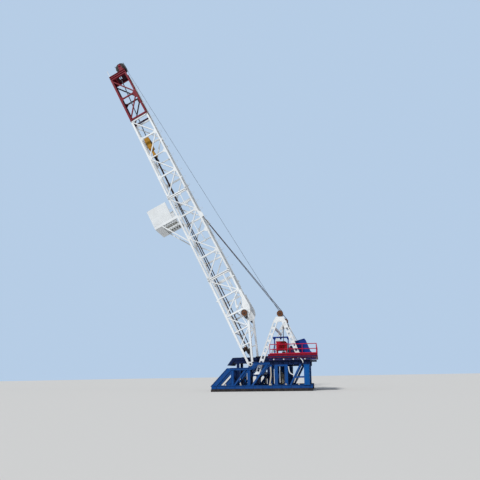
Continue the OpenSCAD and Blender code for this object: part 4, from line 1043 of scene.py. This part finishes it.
# rotary table: ring, its bolts, drive shaft and hatch
ROTARY_X, ROTARY_Z = BLOCK_W + 0.05, FLOOR_Z + 0.12
table = Piece("rotary_fittings", "dark_steel")
collar = [(0.36, -0.02), (0.36, 0.012), (0.5, 0.012), (0.52, -0.02)]
table.turned((ROTARY_X, 0, ROTARY_Z), UP, collar, 40, True)
for a in steps(0, math.tau / 12, 12):
    table.bolt((ROTARY_X + 0.56 * math.cos(a), 0.56 * math.sin(a), ROTARY_Z), UP, 0.024, 0.02)
shaft = [(0.05, -0.1), (0.05, 0.38), (0.1, 0.4), (0.1, 0.46), (0.04, 0.48)]
table.turned((ROTARY_X + 0.62, 0, FLOOR_Z + 0.07), (1, 0, 0), shaft, 20)
table.box((-1.3, -1.1, FLOOR_Z), (-0.8, -0.7, FLOOR_Z + 0.05))
table.done("base")

# pale floor
me = bpy.data.meshes.new("ground")
me.from_pydata([(-400, -400, 0), (400, -400, 0), (400, 900, 0), (-400, 900, 0)], [], [(0, 1, 2, 3)])
ground = add_object("ground", me)
ground_finish = bpy.data.materials.new("ground")
shader = nodes_of(ground_finish)[1]
shader.inputs["Base Color"].default_value = (0.6, 0.59, 0.57, 1)
shader.inputs["Roughness"].default_value = 0.9
me.materials.append(ground_finish)

# soft sky for the light, and a plain pale blue one behind the object
LIT_SKY, SEEN_SKY = ((0.7, 0.8, 0.94, 1), 0.42), ((0.47, 0.61, 0.79, 1), 1.0)
world = bpy.data.worlds.new("world")
bpy.context.scene.world = world
world.use_nodes = True
t = world.node_tree
sky, back = t.nodes["Background"], t.nodes.new("ShaderNodeBackground")
for node, (color, strength) in ((sky, LIT_SKY), (back, SEEN_SKY)):
    node.inputs["Color"].default_value = color
    node.inputs["Strength"].default_value = strength
ray = t.nodes.new("ShaderNodeLightPath")
seen = t.nodes.new("ShaderNodeMath")
seen.operation = "MAXIMUM"
blend_sky = t.nodes.new("ShaderNodeMixShader")
link = t.links.new
link(ray.outputs["Is Camera Ray"], seen.inputs[0])
link(ray.outputs["Is Transmission Ray"], seen.inputs[1])
link(seen.outputs[0], blend_sky.inputs[0])
link(sky.outputs[0], blend_sky.inputs[1])
link(back.outputs[0], blend_sky.inputs[2])
link(blend_sky.outputs[0], t.nodes["World Output"].inputs["Surface"])


def light(name, direction, energy, angle, color):
    d = bpy.data.lights.new(name, "SUN")
    d.energy, d.color, d.angle = energy, color, math.radians(angle)
    o = add_object(name, d)
    o.rotation_mode = "QUATERNION"
    o.rotation_quaternion = Vector(direction).to_track_quat("-Z", "Y")


light("key", (0.5, 0.75, -0.9), 3.1, 6, (1.0, 0.98, 0.95))
light("fill", (-0.8, 0.5, -0.6), 0.3, 30, (0.9, 0.95, 1.0))

# camera of the photograph: focal length and optical centre in pixels, place in metres
PICTURE, SENSOR = 480.0, 36.0
FOCAL, CENTRE_X, CENTRE_Y = 466.0, 243.105, 315.752
YAW, PITCH, ROLL = math.radians(9.456), math.radians(7.4), math.radians(-0.91)
EYE = Vector((6.853, -48.561, 1.45))
lens = bpy.data.cameras.new("camera")
lens.sensor_width = SENSOR
lens.lens = FOCAL / PICTURE * SENSOR
lens.shift_x = (PICTURE / 2 - CENTRE_X) / PICTURE
lens.shift_y = (CENTRE_Y - PICTURE / 2) / PICTURE
lens.clip_end = 2000.0
camera = add_object("camera", lens)
turns = ((YAW, "Z"), (math.pi / 2 + PITCH, "X"), (ROLL, "Z"))
yaw, pitch, roll = (Matrix.Rotation(angle, 4, axis) for angle, axis in turns)
camera.matrix_world = Matrix.Translation(EYE) @ yaw @ pitch @ roll
bpy.context.scene.camera = camera
bpy.context.scene.view_settings.view_transform = "Standard"
